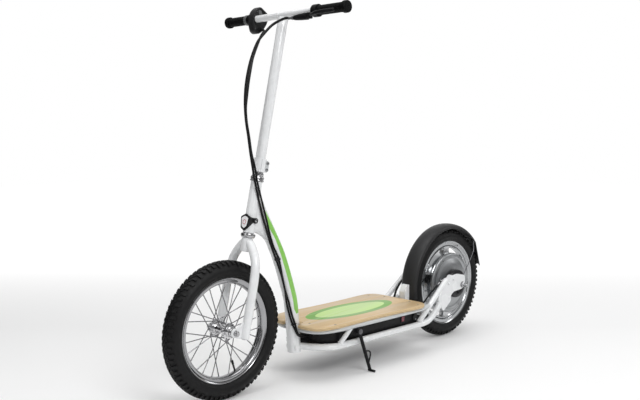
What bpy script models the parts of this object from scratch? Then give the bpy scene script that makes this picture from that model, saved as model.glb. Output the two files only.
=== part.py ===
"""Stand-up electric scooter: 16 inch wheels, spoked front, hub motor rear, wooden deck.

Units are metres. +X points forward, +Y to the rider's left and +Z up; the tyres stand on z = 0.
"""

import math

import bmesh
import bpy
from mathutils import Matrix, Vector

# Running clearance that touching neighbours keep
GAP = 0.0003

# Wheels, common to both ends
WHEELBASE = 1.0934
TYRE_RADIUS = 0.2100
TYRE_HALF_WIDTH = 0.0288
TREAD_HALF_WIDTH = 0.0065
TYRE_WALL = 0.0042
TYRE_SHOULDER = 0.0065
RIM_FLANGE_RADIUS = 0.1600
RIM_BED_RADIUS = 0.1508
RIM_INNER_RADIUS = 0.1400
RIM_HALF_WIDTH = 0.0165
RIM_WALL = 0.0020
WHEEL_STEPS = 36

# Front hub, axle and spokes
SPOKES_PER_SIDE = 14
SPOKE_RADIUS = 0.0011
SPOKE_CROSSINGS = 2
SPOKE_STAGGER = 0.0021
SPOKE_HOLE_INSET = 0.0030
HUB_FLANGE_RADIUS = 0.0265
HUB_FLANGE_THICKNESS = 0.0040
LEFT_FLANGE_Y = 0.0250
RIGHT_FLANGE_Y = -0.0350
HUB_BARREL_RADIUS = 0.0105
HUB_HALF_LENGTH = 0.0490
FRONT_AXLE_RADIUS = 0.0050
FRONT_NUT_RADIUS = 0.0100
FRONT_NUT_HEIGHT = 0.0085
FRONT_AXLE_END = 0.0040
CONE_RADIUS = 0.0085

# Fork and steering
HEAD_TILT = math.radians(12.6)
FORK_OFFSET = 0.0370
AXLE_TO_HEADSET = 0.2926
STEERER_RADIUS = 0.0143
STEERER_WALL = 0.0020
STEERER_TOP = 0.2900
CROWN_RADIUS = 0.0175
CROWN_TOP = -0.0100
CROWN_BOTTOM = -0.0520
FORK_LEG_RADIUS = 0.0138
FORK_LEG_Y = 0.0615
FORK_LEG_BOTTOM = -0.3100
FORK_LEG_TAPER = 0.94
FORK_TAPER_LENGTH = 0.0700
DROPOUT_THICKNESS = 0.0060
DROPOUT_RADIUS = 0.0145

# Head tube and headset, heights measured up the steering axis
HEAD_TUBE_RADIUS = 0.0178
HEAD_TUBE_WALL = 0.0018
HEAD_TUBE_BOTTOM = 0.0060
HEAD_TUBE_TOP = 0.1650
CUP_WALL = 0.0028
LOWER_CUP_RADIUS = 0.0225
LOWER_CUP_HEIGHT = 0.0145
UPPER_CUP_RADIUS = 0.0215
UPPER_CUP_HEIGHT = 0.0150
CUP_FLOOR = 0.0040
LOCKNUT_RADIUS = 0.0175
LOCKNUT_HEIGHT = 0.0110

# Stem and handlebar
STEM_RADIUS = 0.0158
STEM_WALL = 0.0012
STEM_BOTTOM = 0.1940
BAR_HEIGHT = 0.6887
CLAMP_WALL = 0.0026
CLAMP_HEIGHT = 0.0420
CLAMP_EAR_REACH = 0.0170
CLAMP_EAR_WIDTH = 0.0150
CLAMP_BOLT_RADIUS = 0.0042
BAR_RADIUS = 0.0111
BAR_WALL = 0.0018
BAR_HALF_LENGTH = 0.2700
GRIP_RADIUS = 0.0148
GRIP_END_RADIUS = 0.0182
GRIP_END_WIDTH = 0.0140
GRIP_CLOSED_END = 0.0040
LEFT_GRIP_START = 0.1575
RIGHT_GRIP_START = 0.1545
COLLAR_RADIUS = 0.0168
COLLAR_WIDTH = 0.0405

# Throttle housing around the right side of the bar
THROTTLE_INNER_Y = 0.1250
THROTTLE_OUTER_Y = 0.1530
THROTTLE_CORNER = 0.0050
THROTTLE_FACE_DEPTH = 0.0040
THROTTLE_FACE_SCALE = 0.82

# Brake lever and its perch on the left side of the bar
PERCH_INNER_Y = 0.1360
PERCH_OUTER_Y = 0.1560
PERCH_RADIUS = 0.0190
LEVER_AHEAD = 0.0300
LEVER_DROP = 0.0175
LEVER_PIVOT_Y = 0.1480
LEVER_PIN_RADIUS = 0.0030
LEVER_BOSS_RADIUS = 0.0080
LEVER_BOSS_HEIGHT = 0.0080
LUG_THICKNESS = 0.0040
PERCH_ARM_HEIGHT = 0.0220
PERCH_ARM_THICKNESS = 0.0150
PERCH_ARM_END_Y = 0.0800
BARREL_RADIUS = 0.0058
BARREL_END_Y = 0.0640
LEVER_BLADE_RADIUS = 0.0062

# Frame tubes
DOWN_TUBE_RADIUS = 0.02225
DOWN_TUBE_WALL = 0.0020
RAIL_RADIUS = 0.0110
RAIL_WALL = 0.0015
RAIL_HEIGHT = 0.1065
RAIL_Y = 0.1075
STAY_RADIUS = 0.0095
STAY_WALL = 0.0015
STRUT_RADIUS = 0.0080
DECK_RAIL_RADIUS = 0.0070
DECK_RAIL_Y = 0.1235
CROSS_RADIUS = 0.0100
CROSS_X = 0.2500
CROSS_DROP = 0.0043
PLATE_THICKNESS = 0.0050
PLATE_INNER_Y = 0.0820

# Deck board
DECK_TOP = 0.1840
DECK_THICKNESS = 0.0110
DECK_FRONT_X = 0.8200
DECK_REAR_X = 0.2680
DECK_NOTCH_HALF_WIDTH = 0.0360

# Battery tray and what it holds
TRAY_RAIL_SPACE = 0.0016
TRAY_FRONT_X = 0.7640
TRAY_REAR_X = 0.2816
TRAY_BOTTOM = 0.0980
TRAY_WALL = 0.0025
TRAY_CORNER = 0.0820
PORT_SPACE = 0.0022
BATTERY_LENGTH = 0.2700
BATTERY_WIDTH = 0.1510
BATTERY_HEIGHT = 0.0640
CONTROLLER_LENGTH = 0.0900
CONTROLLER_WIDTH = 0.0800
CONTROLLER_HEIGHT = 0.0400
CONTROLLER_FRONT_X = 0.4000
CONTROLLER_SPACE = 0.0210
WIRE_SOCKET_BACK = 0.0300
MOTOR_SOCKET_BACK = 0.0660
CONTROLLER_FIN_DEPTH = 0.0030
SWITCH_X = 0.3664
SWITCH_HEIGHT = 0.1382
SWITCH_LENGTH = 0.0190
SWITCH_TALL = 0.0270
SWITCH_BEZEL = 0.0022
SWITCH_DEPTH = 0.0120
ROCKER_TILT = math.radians(7.0)
ROCKER_PROUD = 0.0030
PORT_X = 0.3010
PORT_HEIGHT = 0.1340
PORT_RADIUS = 0.0110
PORT_DEPTH = 0.0180
CAP_RADIUS = 0.0120
CAP_THICKNESS = 0.0030
CAP_HINGE_RADIUS = 0.0013

# Side stand
STAND_X = 0.6375
STAND_HEIGHT = 0.1485
STAND_Y = 0.1345
STAND_RADIUS = 0.0060
STAND_FOOT_X = 0.5740
STAND_FOOT_Y = 0.1265
STAND_FOOT_RADIUS = 0.0040
STAND_FOOT_LENGTH = 0.0280
STAND_BOSS_RADIUS = 0.0095
STAND_BOSS_WIDTH = 0.0130
STAND_PIN_RADIUS = 0.0040
STAND_TAB_RADIUS = 0.0026
STAND_TAB_REACH = 0.0190
STAND_BRACKET_THICKNESS = 0.0045
STAND_BRACKET_HALF_LENGTH = 0.0210
STAND_BRACKET_BOTTOM = 0.1390

# Rear wheel, hub motor and axle
MOTOR_RADIUS = 0.1160
MOTOR_RIGHT_Y = -0.0420
MOTOR_LEFT_Y = 0.0263
MOTOR_WALL = 0.0060
COVER_THICKNESS = 0.0045
COVER_RIM_HEIGHT = 0.0050
COVER_DOME_HEIGHT = 0.0210
SPOKE_BLOCKS = 6
SPOKE_BLOCK_WIDTH = 0.0170
SPOKE_BLOCK_DEPTH = 0.0240
SPOKE_BLOCK_TURN = math.radians(30.0)
REAR_AXLE_RADIUS = 0.0070
REAR_AXLE_HALF_LENGTH = 0.1120
REAR_NUT_RADIUS = 0.0130
REAR_NUT_HEIGHT = 0.0100
SPACER_RADIUS = 0.0110
STATOR_RADIUS = 0.0950
STATOR_HALF_WIDTH = 0.0180

# Rear brake
BRAKE_COVER_RADIUS = 0.0540
BRAKE_COVER_OUTER_Y = 0.0680
BRAKE_COVER_DEPTH = 0.0140
BRAKE_COVER_WALL = 0.0025
BRAKE_DRUM_RADIUS = 0.0460
BRAKE_DRUM_WIDTH = 0.0125
BRAKE_ARM_THICKNESS = 0.0040
BRAKE_ARM_PIVOT_X = 0.0480
BRAKE_ARM_PIVOT_DROP = 0.0020
BRAKE_ARM_END_X = 0.1040
BRAKE_ARM_END_RISE = 0.0260

# Rear mudguard
FENDER_SPACE = 0.0190
FENDER_EDGE_SPACE = 0.0030
FENDER_HALF_WIDTH = 0.0345
FENDER_THICKNESS = 0.0025
FENDER_FRONT_ANGLE = -9.0
FENDER_REAR_ANGLE = 140.0
FLAP_REACH = 0.0100
FLAP_RISE = 0.0460
FENDER_STAY_RADIUS = 0.0020
FENDER_STAY_ANGLE = 134.0
BRACKET_HALF_WIDTH = 0.0130
BRACKET_WALL = 0.0025
BRACKET_FRONT_X = 0.2620
BRACKET_RISE = 0.0210
BRACKET_SLOPE_DROP = 0.0040
BRACKET_FLAT_SHARE = 0.43

# Front reflector
REFLECTOR_HEIGHT_UP = 0.0370
REFLECTOR_THICKNESS = 0.0036
REFLECTOR_BAND = 0.0042
REFLECTOR_BOSS_RISE = 0.0080
REFLECTOR_SADDLE_HALF_WIDTH = 0.0235
REFLECTOR_BOSS_RADIUS = 0.0085
REFLECTOR_BOSS_WIDTH = 0.0035
LENS_THICKNESS = 0.0016
LENS_MARGIN = 0.0028

# Cables
BRAKE_CABLE_RADIUS = 0.0032
THROTTLE_WIRE_RADIUS = 0.0031
MOTOR_CABLE_RADIUS = 0.0040
CABLE_LEAD = 0.0070
CABLE_TURN = 3.5
CONTROLLER_SOCKET_HEIGHT = 0.1260

# Places that follow from the sizes above
FENDER_RADIUS = TYRE_RADIUS + FENDER_SPACE
FENDER_EDGE_RADIUS = TYRE_RADIUS + FENDER_EDGE_SPACE
FLAP_REAR_X = -TYRE_RADIUS - FLAP_REACH
REAR_X = -(WHEELBASE + TYRE_RADIUS + FLAP_REAR_X) / 2
STEER_UP = Vector((-math.sin(HEAD_TILT), 0.0, math.cos(HEAD_TILT)))
STEER_FORWARD = Vector((math.cos(HEAD_TILT), 0.0, math.sin(HEAD_TILT)))
SIDE = Vector((0.0, 1.0, 0.0))
UP = Vector((0.0, 0.0, 1.0))
FORWARD = Vector((1.0, 0.0, 0.0))
DECK_BOTTOM = DECK_TOP - DECK_THICKNESS
DECK_RAIL_HEIGHT = DECK_BOTTOM - GAP - DECK_RAIL_RADIUS
PLATE_OUTER_Y = PLATE_INNER_Y + PLATE_THICKNESS
TRAY_HALF_WIDTH = RAIL_Y - RAIL_RADIUS - TRAY_RAIL_SPACE
BATTERY_FRONT_X = CONTROLLER_FRONT_X + CONTROLLER_SPACE + BATTERY_LENGTH


def at(x, y=0.0, z=0.0):
    """A place given by its distance ahead of the rear axle, in world coordinates."""
    return Vector((REAR_X + x, y, z))


def steer(up, y=0.0, ahead=0.0):
    """A place given along the steering axis, from the lower headset, and ahead of the axis."""
    front_axle = at(WHEELBASE, 0.0, TYRE_RADIUS)
    along = STEER_UP * (up + AXLE_TO_HEADSET)
    return front_axle + along + STEER_FORWARD * (ahead - FORK_OFFSET) + SIDE * y


def at_bar(ahead, y, above):
    """A place given from the middle of the handlebar, level with the ground."""
    return steer(BAR_HEIGHT) + Vector((ahead, y, above))


REAR_AXLE = at(0.0, 0.0, TYRE_RADIUS)
FRONT_AXLE = at(WHEELBASE, 0.0, TYRE_RADIUS)

# Centre line of the down tube, from its open foot to where it starts to flare: (x, z)
DOWN_TUBE_PATH = [
    (0.8035, 0.0880), (0.8060, 0.1300), (0.8090, 0.1700), (0.8130, 0.2100), (0.8195, 0.2600),
    (0.8340, 0.3100), (0.8510, 0.3610), (0.8710, 0.4120), (0.8870, 0.4450),
]
# Ends of the down tube's last round section, and the bend points of the flare: (x, z)
FLARE_REAR = [(0.8664, 0.4535), (0.9150, 0.5450)]
FLARE_FRONT = [(0.9076, 0.4365), (0.9260, 0.4830)]

# Left lower rail, from the down tube back to the dropout plate: (x, y, z)
RAIL_PATH = [
    (0.7950, 0.0080, RAIL_HEIGHT), (0.7870, 0.0230, RAIL_HEIGHT), (0.7780, 0.0410, RAIL_HEIGHT),
    (0.7660, 0.0610, RAIL_HEIGHT), (0.7500, 0.0805, RAIL_HEIGHT), (0.7300, 0.0957, RAIL_HEIGHT),
    (0.7065, 0.1050, RAIL_HEIGHT), (0.6820, RAIL_Y, RAIL_HEIGHT), (0.6000, RAIL_Y, RAIL_HEIGHT),
    (0.3500, RAIL_Y, RAIL_HEIGHT), (0.2900, RAIL_Y, RAIL_HEIGHT), (0.2650, 0.1068, 0.1070),
    (0.2350, 0.1045, 0.1100), (0.2100, 0.1010, 0.1180), (0.1860, PLATE_OUTER_Y + RAIL_RADIUS + GAP, 0.1310),
    (0.1560, PLATE_OUTER_Y + RAIL_RADIUS + GAP, 0.1600),
]
# Left deck rail, from the down tube back to the rear stay: (x, y)
DECK_RAIL_PATH = [
    (0.8090, 0.0080), (0.8090, 0.0400), (0.8060, 0.0600), (0.8000, 0.0780), (0.7890, 0.0940),
    (0.7720, 0.1070), (0.7480, 0.1160), (0.7150, 0.1215), (0.6800, DECK_RAIL_Y),
    (0.5500, DECK_RAIL_Y), (0.4000, DECK_RAIL_Y), (0.3300, DECK_RAIL_Y), (0.2950, 0.1205),
    (0.2620, 0.1130), (0.2280, 0.1030),
]
STAY_TOP = (0.1145, PLATE_OUTER_Y + STAY_RADIUS + GAP, TYRE_RADIUS + 0.0365)
STAY_BOTTOM = (0.2930, RAIL_Y, 0.1125)
STRUT_TOP = (0.6600, DECK_RAIL_Y - 0.0050, DECK_RAIL_HEIGHT)
STRUT_BOTTOM = (0.7030, RAIL_Y, RAIL_HEIGHT)



def stay_at(x):
    """The left rear stay's middle line at a distance ahead of the rear axle: (y, z)."""
    share = (STAY_BOTTOM[0] - x) / (STAY_BOTTOM[0] - STAY_TOP[0])
    return [low + (high - low) * share for low, high in zip(STAY_BOTTOM[1:], STAY_TOP[1:])]


CROSS_END_Y = stay_at(CROSS_X)[0] - STAY_RADIUS
CROSS_HEIGHT = stay_at(CROSS_X)[1] - CROSS_DROP

# Left half of the deck's outline: (x, y)
DECK_OUTLINE = [
    (DECK_FRONT_X, 0.0700), (0.8125, 0.0980), (0.7950, 0.1165), (0.7640, 0.1275),
    (0.7200, 0.1318), (0.6500, 0.1300), (0.5600, 0.1285), (0.4500, 0.1315), (0.3450, 0.1380),
    (0.3000, 0.1350), (0.2760, 0.1180), (DECK_REAR_X, 0.0900),
]
# Dropout plate: its foot beside the lower rail, as (x, z), and its head round the axle, as
# (x, height above the axle)
PLATE_FOOT = [(0.1160, 0.1230), (0.1480, 0.1660), (0.1460, 0.1760)]
PLATE_HEAD = [
    (0.1040, 0.0290), (0.0860, 0.0500), (0.0560, 0.0420), (0.0340, 0.0460), (-0.0170, 0.0350),
    (-0.0210, 0.0170), (-0.0190, -0.0060), (-0.0020, -0.0170), (0.0500, -0.0200),
    (0.0710, -0.0330), (0.0690, -0.0530),
]
PLATE_OUTLINE = PLATE_FOOT + [(x, TYRE_RADIUS + rise) for x, rise in PLATE_HEAD]
# Throttle housing seen along the bar, from its top: (ahead, above)
THROTTLE_OUTLINE = [
    (-0.0145, 0.0420), (0.0060, 0.0290), (0.0165, 0.0090), (0.0175, -0.0170),
    (0.0110, -0.0415), (-0.0040, -0.0480), (-0.0210, -0.0380), (-0.0370, -0.0190),
    (-0.0470, 0.0000), (-0.0480, 0.0190),
]
# Reflector face: (sideways, up), from its top corner
REFLECTOR_OUTLINE = [
    (0.0000, 0.0262), (0.0205, 0.0155), (0.0145, -0.0190), (0.0000, -0.0262),
    (-0.0145, -0.0190), (-0.0205, 0.0155),
]

# Brake lever's blade from its pin: (ahead, outward, up)
LEVER_BLADE_PATH = [
    (0.0020, 0.0040, 0.0000), (0.0110, 0.0180, 0.0010), (0.0180, 0.0400, 0.0030),
    (0.0190, 0.0700, 0.0040), (0.0140, 0.1000, 0.0050), (0.0140, 0.1120, 0.0050),
]
# Where the cables pass the tray's end walls: (y, z)
BRAKE_PORT = (0.0375, 0.1500)
WIRE_PORT = (0.0240, 0.1370)
BRAKE_REAR_PORT = (0.0778, 0.1520)
MOTOR_PORT = (-0.0620, 0.1500)



def front_room(share):
    """Distance ahead of the rear axle, between the battery's front and the tray's front."""
    return BATTERY_FRONT_X + (TRAY_FRONT_X - BATTERY_FRONT_X) * share


# Brake cable from below its barrel to the brake arm's clamp: (x, y, z)
BRAKE_CABLE_ROUTE = [
    (0.8760, 0.0480, 1.1440), (0.8880, 0.0360, 1.1380), (0.9080, 0.0200, 1.1230),
    (0.9330, 0.0130, 1.0980), (0.9600, 0.0110, 1.0680), (0.9830, 0.0110, 1.0230),
    (0.9975, 0.0110, 0.9800), (1.0070, 0.0110, 0.9350), (1.0105, 0.0110, 0.8850),
    (1.0070, 0.0110, 0.8350), (0.9990, 0.0120, 0.7850), (0.9923, 0.0132, 0.7350),
    (0.9864, 0.0152, 0.6930), (0.9815, 0.0180, 0.6550), (0.9746, 0.0210, 0.6200),
    (0.9630, 0.0218, 0.5750), (0.9524, 0.0237, 0.5350), (0.9370, 0.0245, 0.4900),
    (0.9138, 0.0160, 0.4450), (0.8940, 0.0152, 0.4020), (0.8759, 0.0203, 0.3500),
    (0.8600, 0.0200, 0.3000), (0.8418, 0.0178, 0.2560), (0.8308, 0.0202, 0.2150),
    (0.8218, 0.0247, 0.1850), (0.8222, 0.0338, 0.1620), (0.8110, 0.0364, 0.1500),
    (TRAY_FRONT_X, *BRAKE_PORT), (front_room(0.685), 0.0450, 0.1500),
    (front_room(0.410), 0.0660, 0.1510), (front_room(0.040), 0.0792, 0.1520),
    (0.6600, 0.0792, 0.1520), (0.5000, 0.0792, 0.1520), (0.3300, 0.0782, 0.1520),
    (TRAY_REAR_X, *BRAKE_REAR_PORT), (0.2550, 0.0780, CROSS_HEIGHT + 0.0155),
    (0.2200, 0.0720, CROSS_HEIGHT + 0.0285), (0.1750, 0.0700, TYRE_RADIUS - 0.0120),
    (0.1130, 0.0705, TYRE_RADIUS + 0.0250),
]
# Throttle wire from the housing's face to the controller's side
THROTTLE_WIRE_ROUTE = [
    (0.8300, -0.1100, 1.1220), (0.8400, -0.1030, 1.1140),
    (0.8600, -0.0920, 1.0980), (0.8900, -0.0730, 1.0690), (0.9330, -0.0430, 1.0270),
    (0.9640, -0.0170, 0.9900), (0.9860, -0.0010, 0.9500), (0.9970, 0.0040, 0.9080),
    (1.0020, 0.0040, 0.8700), (0.9995, 0.0045, 0.8300), (0.9920, 0.0060, 0.7850),
    (0.9848, 0.0082, 0.7350), (0.9762, 0.0138, 0.6930), (0.9740, 0.0202, 0.6550),
    (0.9656, 0.0220, 0.6200), (0.9533, 0.0237, 0.5750), (0.9413, 0.0243, 0.5350),
    (0.9290, 0.0250, 0.4900), (0.9069, 0.0180, 0.4450), (0.8853, 0.0190, 0.4020),
    (0.8688, 0.0149, 0.3500), (0.8549, 0.0133, 0.3000), (0.8449, 0.0097, 0.2560),
    (0.8367, 0.0142, 0.2150), (0.8284, 0.0193, 0.1850), (0.8198, 0.0262, 0.1610),
    (0.8060, 0.0268, 0.1440), (TRAY_FRONT_X, *WIRE_PORT), (front_room(0.685), 0.0350, 0.1370),
    (front_room(0.385), 0.0660, 0.1370), (front_room(0.040), 0.0795, 0.1370),
    (0.6400, 0.0797, 0.1370), (0.5000, 0.0797, 0.1370), (0.4200, 0.0794, 0.1360),
    (0.3900, 0.0680, 0.1320),
]
# Motor cable from the axle's right side to the controller's side
MOTOR_CABLE_ROUTE = [
    (0.0030, -0.0640, TYRE_RADIUS + 0.0240), (0.0250, -0.0690, TYRE_RADIUS + 0.0350),
    (0.0750, -0.0720, TYRE_RADIUS + 0.0430), (0.1300, -0.0720, TYRE_RADIUS + 0.0350),
    (0.1750, -0.0710, TYRE_RADIUS + 0.0140), (0.2050, -0.0700, TYRE_RADIUS - 0.0150),
    (0.2200, -0.0680, CROSS_HEIGHT + 0.0315), (0.2500, -0.0630, CROSS_HEIGHT + 0.0195),
    (TRAY_REAR_X, *MOTOR_PORT), (0.3100, -0.0610, 0.1440),
]
# Left half of the mudguard's wire stay: first (x, height above the axle) beside the plate, then
# across the tyre under the mudguard as (distance past the tyre, y) at one angle round the axle
FENDER_STAY_ROOT = [(-0.0080, 0.0250), (-0.0220, 0.0360)]
FENDER_STAY_ARCH = [
    (-0.0600, 0.0620), (-0.0200, 0.0455), (-0.0070, 0.0395), (-0.0020, 0.0320),
    (0.0030, 0.0250), (0.0080, 0.0140), (0.0100, 0.0000),
]


def clear_scene():
    for obj in list(bpy.data.objects):
        bpy.data.objects.remove(obj, do_unlink=True)


def collection(name):
    found = bpy.data.collections.get(name)
    if found is None:
        found = bpy.data.collections.new(name)
        bpy.context.scene.collection.children.link(found)
    return found


def material(name, colour, roughness, metallic=0.0):
    made = bpy.data.materials.get(name) or bpy.data.materials.new(name)
    made.use_nodes = True
    shader = made.node_tree.nodes["Principled BSDF"]
    shader.inputs["Base Color"].default_value = (*colour, 1.0)
    shader.inputs["Roughness"].default_value = roughness
    shader.inputs["Metallic"].default_value = metallic
    made.diffuse_color = (*colour, 1.0)
    return made


WHITE_PAINT = ("white_paint", (0.86, 0.87, 0.88), 0.35, 0.0)
BLACK_PLASTIC = ("black_plastic", (0.035, 0.035, 0.04), 0.45, 0.0)
GREY_PLASTIC = ("grey_plastic", (0.13, 0.13, 0.14), 0.45, 0.0)
LIGHT_PLASTIC = ("light_plastic", (0.60, 0.62, 0.62), 0.45, 0.0)
RUBBER = ("rubber", (0.03, 0.03, 0.03), 0.8, 0.0)
ALUMINIUM = ("aluminium", (0.75, 0.76, 0.78), 0.25, 1.0)
STEEL = ("steel", (0.60, 0.60, 0.62), 0.35, 1.0)
DARK_STEEL = ("dark_steel", (0.12, 0.12, 0.13), 0.45, 1.0)
BLACK_PAINT = ("black_paint", (0.03, 0.03, 0.03), 0.4, 0.0)
WOOD = ("bamboo", (0.78, 0.62, 0.42), 0.5, 0.0)
RED_PLASTIC = ("red_plastic", (0.6, 0.03, 0.06), 0.35, 0.0)
WHITE_LENS = ("white_lens", (0.9, 0.9, 0.92), 0.2, 0.0)
BATTERY_CASE = ("battery_case", (0.05, 0.08, 0.18), 0.5, 0.0)


def new_object(name, data, finish):
    obj = bpy.data.objects.new(name, data)
    collection("electric_scooter").objects.link(obj)
    if finish is not None:
        data.materials.append(material(*finish))
    return obj


def make_cutter(obj):
    """Keep an object only as the operand of another one's Boolean."""
    collection("electric_scooter").objects.unlink(obj)
    collection("cutters").objects.link(obj)
    obj.hide_render = True
    obj.display_type = "WIRE"


def boolean(target, operation, tool):
    step = target.modifiers.new(operation.lower(), "BOOLEAN")
    step.operation = operation
    step.object = tool
    if tool.name not in collection("cutters").objects:
        make_cutter(tool)


def cut(target, *tools):
    for tool in tools:
        boolean(target, "DIFFERENCE", tool)


def join(target, *tools):
    for tool in tools:
        boolean(target, "UNION", tool)


def facing(origin, direction):
    """Placement whose local Z points along direction."""
    turn = direction.normalized().to_track_quat("Z", "Y").to_matrix().to_4x4()
    return Matrix.Translation(origin) @ turn


def axes_matrix(origin, x_axis, y_axis, z_axis):
    turn = Matrix((x_axis, y_axis, z_axis)).transposed().to_4x4()
    return Matrix.Translation(origin) @ turn


def lathe(name, profile, origin, direction, finish, steps=20, closed=True):
    """Turned piece: profile is (radius, height), down its outer side and back up its bore."""
    mesh = bpy.data.meshes.new(name)
    edges = [(i, i + 1) for i in range(len(profile) - 1)]
    if closed:
        edges.append((len(profile) - 1, 0))
    mesh.from_pydata([(radius, 0.0, height) for radius, height in profile], edges, [])
    obj = new_object(name, mesh, finish)
    obj.matrix_world = facing(origin, direction)
    turn = obj.modifiers.new("turn", "SCREW")
    turn.axis = "Z"
    turn.steps = steps
    turn.render_steps = steps
    turn.use_merge_vertices = True
    turn.merge_threshold = 0.00001
    turn.use_smooth_shade = True
    return obj


def ring(name, inner, outer, low, high, origin, direction, finish, steps=20):
    profile = [(outer, high), (outer, low), (inner, low), (inner, high)]
    return lathe(name, profile, origin, direction, finish, steps)


def disc(name, radius, low, high, origin, direction, finish, steps=20):
    profile = [(0.0, high), (radius, high), (radius, low), (0.0, low)]
    return lathe(name, profile, origin, direction, finish, steps, closed=False)


def smooth_path(points, steps):
    """Points of a Catmull-Rom curve through the given ones."""
    ends = [points[0] * 2 - points[1], *points, points[-1] * 2 - points[-2]]
    path = []
    for i in range(len(points) - 1):
        a, b, c, d = ends[i:i + 4]
        for k in range(steps):
            t = k / steps
            path.append(
                (b * 2 + (c - a) * t + (a * 2 - b * 5 + c * 4 - d) * t ** 2
                 + (b * 3 - a - c * 3 + d) * t ** 3) / 2
            )
    path.append(points[-1].copy())
    return path


def thinned(points, turn=2.5):
    """The same path without the points at which it hardly turns."""
    kept = [points[0]]
    for i in range(1, len(points) - 1):
        before = points[i] - kept[-1]
        after = points[i + 1] - points[i]
        if math.degrees(before.angle(after)) > turn:
            kept.append(points[i])
    kept.append(points[-1])
    return kept


def mesh_from(obj, name, finish):
    """Turn a curve object into a mesh object with welded caps, in its place."""
    depsgraph = bpy.context.evaluated_depsgraph_get()
    depsgraph.update()
    mesh = bpy.data.meshes.new_from_object(obj.evaluated_get(depsgraph))
    shape = bmesh.new()
    shape.from_mesh(mesh)
    bmesh.ops.remove_doubles(shape, verts=shape.verts, dist=0.00001)
    shape.to_mesh(mesh)
    shape.free()
    place = obj.matrix_world.copy()
    bpy.data.objects.remove(obj, do_unlink=True)
    mesh.name = name
    made = new_object(name, mesh, None)
    made.matrix_world = place
    if not mesh.materials and finish is not None:
        mesh.materials.append(material(*finish))
    return made


def tube(name, points, radius, finish, sides=12, wall=None, radii=None):
    """Round tube along points: solid, or with a wall and open ends."""
    curve = bpy.data.curves.new(name, "CURVE")
    curve.dimensions = "3D"
    curve.bevel_depth = radius
    curve.bevel_resolution = (sides - 4) // 2
    curve.use_fill_caps = wall is None
    spline = curve.splines.new("POLY")
    spline.points.add(len(points) - 1)
    for i, (target, point) in enumerate(zip(spline.points, points)):
        target.co = (*point, 1.0)
        target.radius = 1.0 if radii is None else radii[i]
    spline.use_smooth = True
    obj = mesh_from(new_object(name + "_curve", curve, finish), name, finish)
    if wall is not None:
        skin = obj.modifiers.new("wall", "SOLIDIFY")
        skin.thickness = wall
        skin.offset = -1.0
    obj.data.shade_smooth()
    obj.data.set_sharp_from_angle(angle=math.radians(40))
    return obj


def rod(name, start, end, radius, finish, sides=16, wall=None):
    """Straight bar or tube between two places."""
    length = (end - start).length
    if wall is None:
        return disc(name, radius, 0.0, length, start, end - start, finish, sides)
    return ring(name, radius - wall, radius, 0.0, length, start, end - start, finish, sides)


def hexagon(name, radius, low, high, origin, direction, finish):
    """Nut or bolt head: six flats, radius to its corners."""
    shape = bmesh.new()
    bmesh.ops.create_cone(
        shape, cap_ends=True, segments=6, radius1=radius, radius2=radius, depth=high - low
    )
    mesh = bpy.data.meshes.new(name)
    shape.to_mesh(mesh)
    shape.free()
    obj = new_object(name, mesh, finish)
    obj.matrix_world = facing(origin + direction.normalized() * (low + high) / 2, direction)
    return obj


def block(name, size, place, finish, bevel=0.0, segments=2):
    """Box of the given size, its middle at the placement, with rounded edges."""
    shape = bmesh.new()
    bmesh.ops.create_cube(shape, size=1.0)
    bmesh.ops.scale(shape, vec=size, verts=shape.verts)
    mesh = bpy.data.meshes.new(name)
    shape.to_mesh(mesh)
    shape.free()
    obj = new_object(name, mesh, finish)
    obj.matrix_world = place
    if bevel > 0.0:
        soften = obj.modifiers.new("soften", "BEVEL")
        soften.width = bevel
        soften.segments = segments
        obj.data.shade_smooth()
        obj.data.set_sharp_from_angle(angle=math.radians(50))
    return obj


def box_at(name, low, high, finish, bevel=0.0):
    """Box between two corners."""
    return block(name, high - low, Matrix.Translation((low + high) / 2), finish, bevel)


def plate(name, outline, thickness, place, finish, holes=()):
    """Flat piece: a 2D outline with round holes, extruded about its middle plane."""
    curve = bpy.data.curves.new(name, "CURVE")
    curve.dimensions = "2D"
    curve.fill_mode = "BOTH"
    curve.extrude = thickness / 2
    loops = [outline]
    for centre, radius in holes:
        loops.append(arc(centre, radius, 0.0, 360.0, 17)[:-1])
    for loop in loops:
        spline = curve.splines.new("POLY")
        spline.points.add(len(loop) - 1)
        spline.use_cyclic_u = True
        for target, point in zip(spline.points, loop):
            target.co = (point[0], point[1], 0.0, 1.0)
    obj = new_object(name + "_curve", curve, finish)
    obj.matrix_world = place
    bpy.context.view_layer.update()
    return mesh_from(obj, name, finish)


def arc(centre, radius, start, end, count):
    """Points of an arc in a plane, angles in degrees."""
    points = []
    for i in range(count):
        angle = math.radians(start + (end - start) * i / (count - 1))
        x = centre[0] + radius * math.cos(angle)
        points.append((x, centre[1] + radius * math.sin(angle)))
    return points


def rounded(points, radius, count=4):
    """Outline with each corner replaced by a curve that starts radius away from it."""
    outline = []
    for i, corner in enumerate(points):
        here = Vector(corner)
        before = Vector(points[i - 1]) - here
        after = Vector(points[(i + 1) % len(points)]) - here
        start = here + before.normalized() * min(radius, before.length * 0.45)
        end = here + after.normalized() * min(radius, after.length * 0.45)
        for k in range(count):
            t = k / (count - 1)
            outline.append(tuple(start * (1 - t) ** 2 + here * 2 * t * (1 - t) + end * t ** 2))
    return outline


def side_place(y):
    """Placement that stands an (x, z) outline up at a distance to the side."""
    return axes_matrix(at(0.0, y), FORWARD, UP, -SIDE)


def mirror_y(points, side):
    return [Vector((point[0], point[1] * side, point[2])) for point in points]


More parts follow.
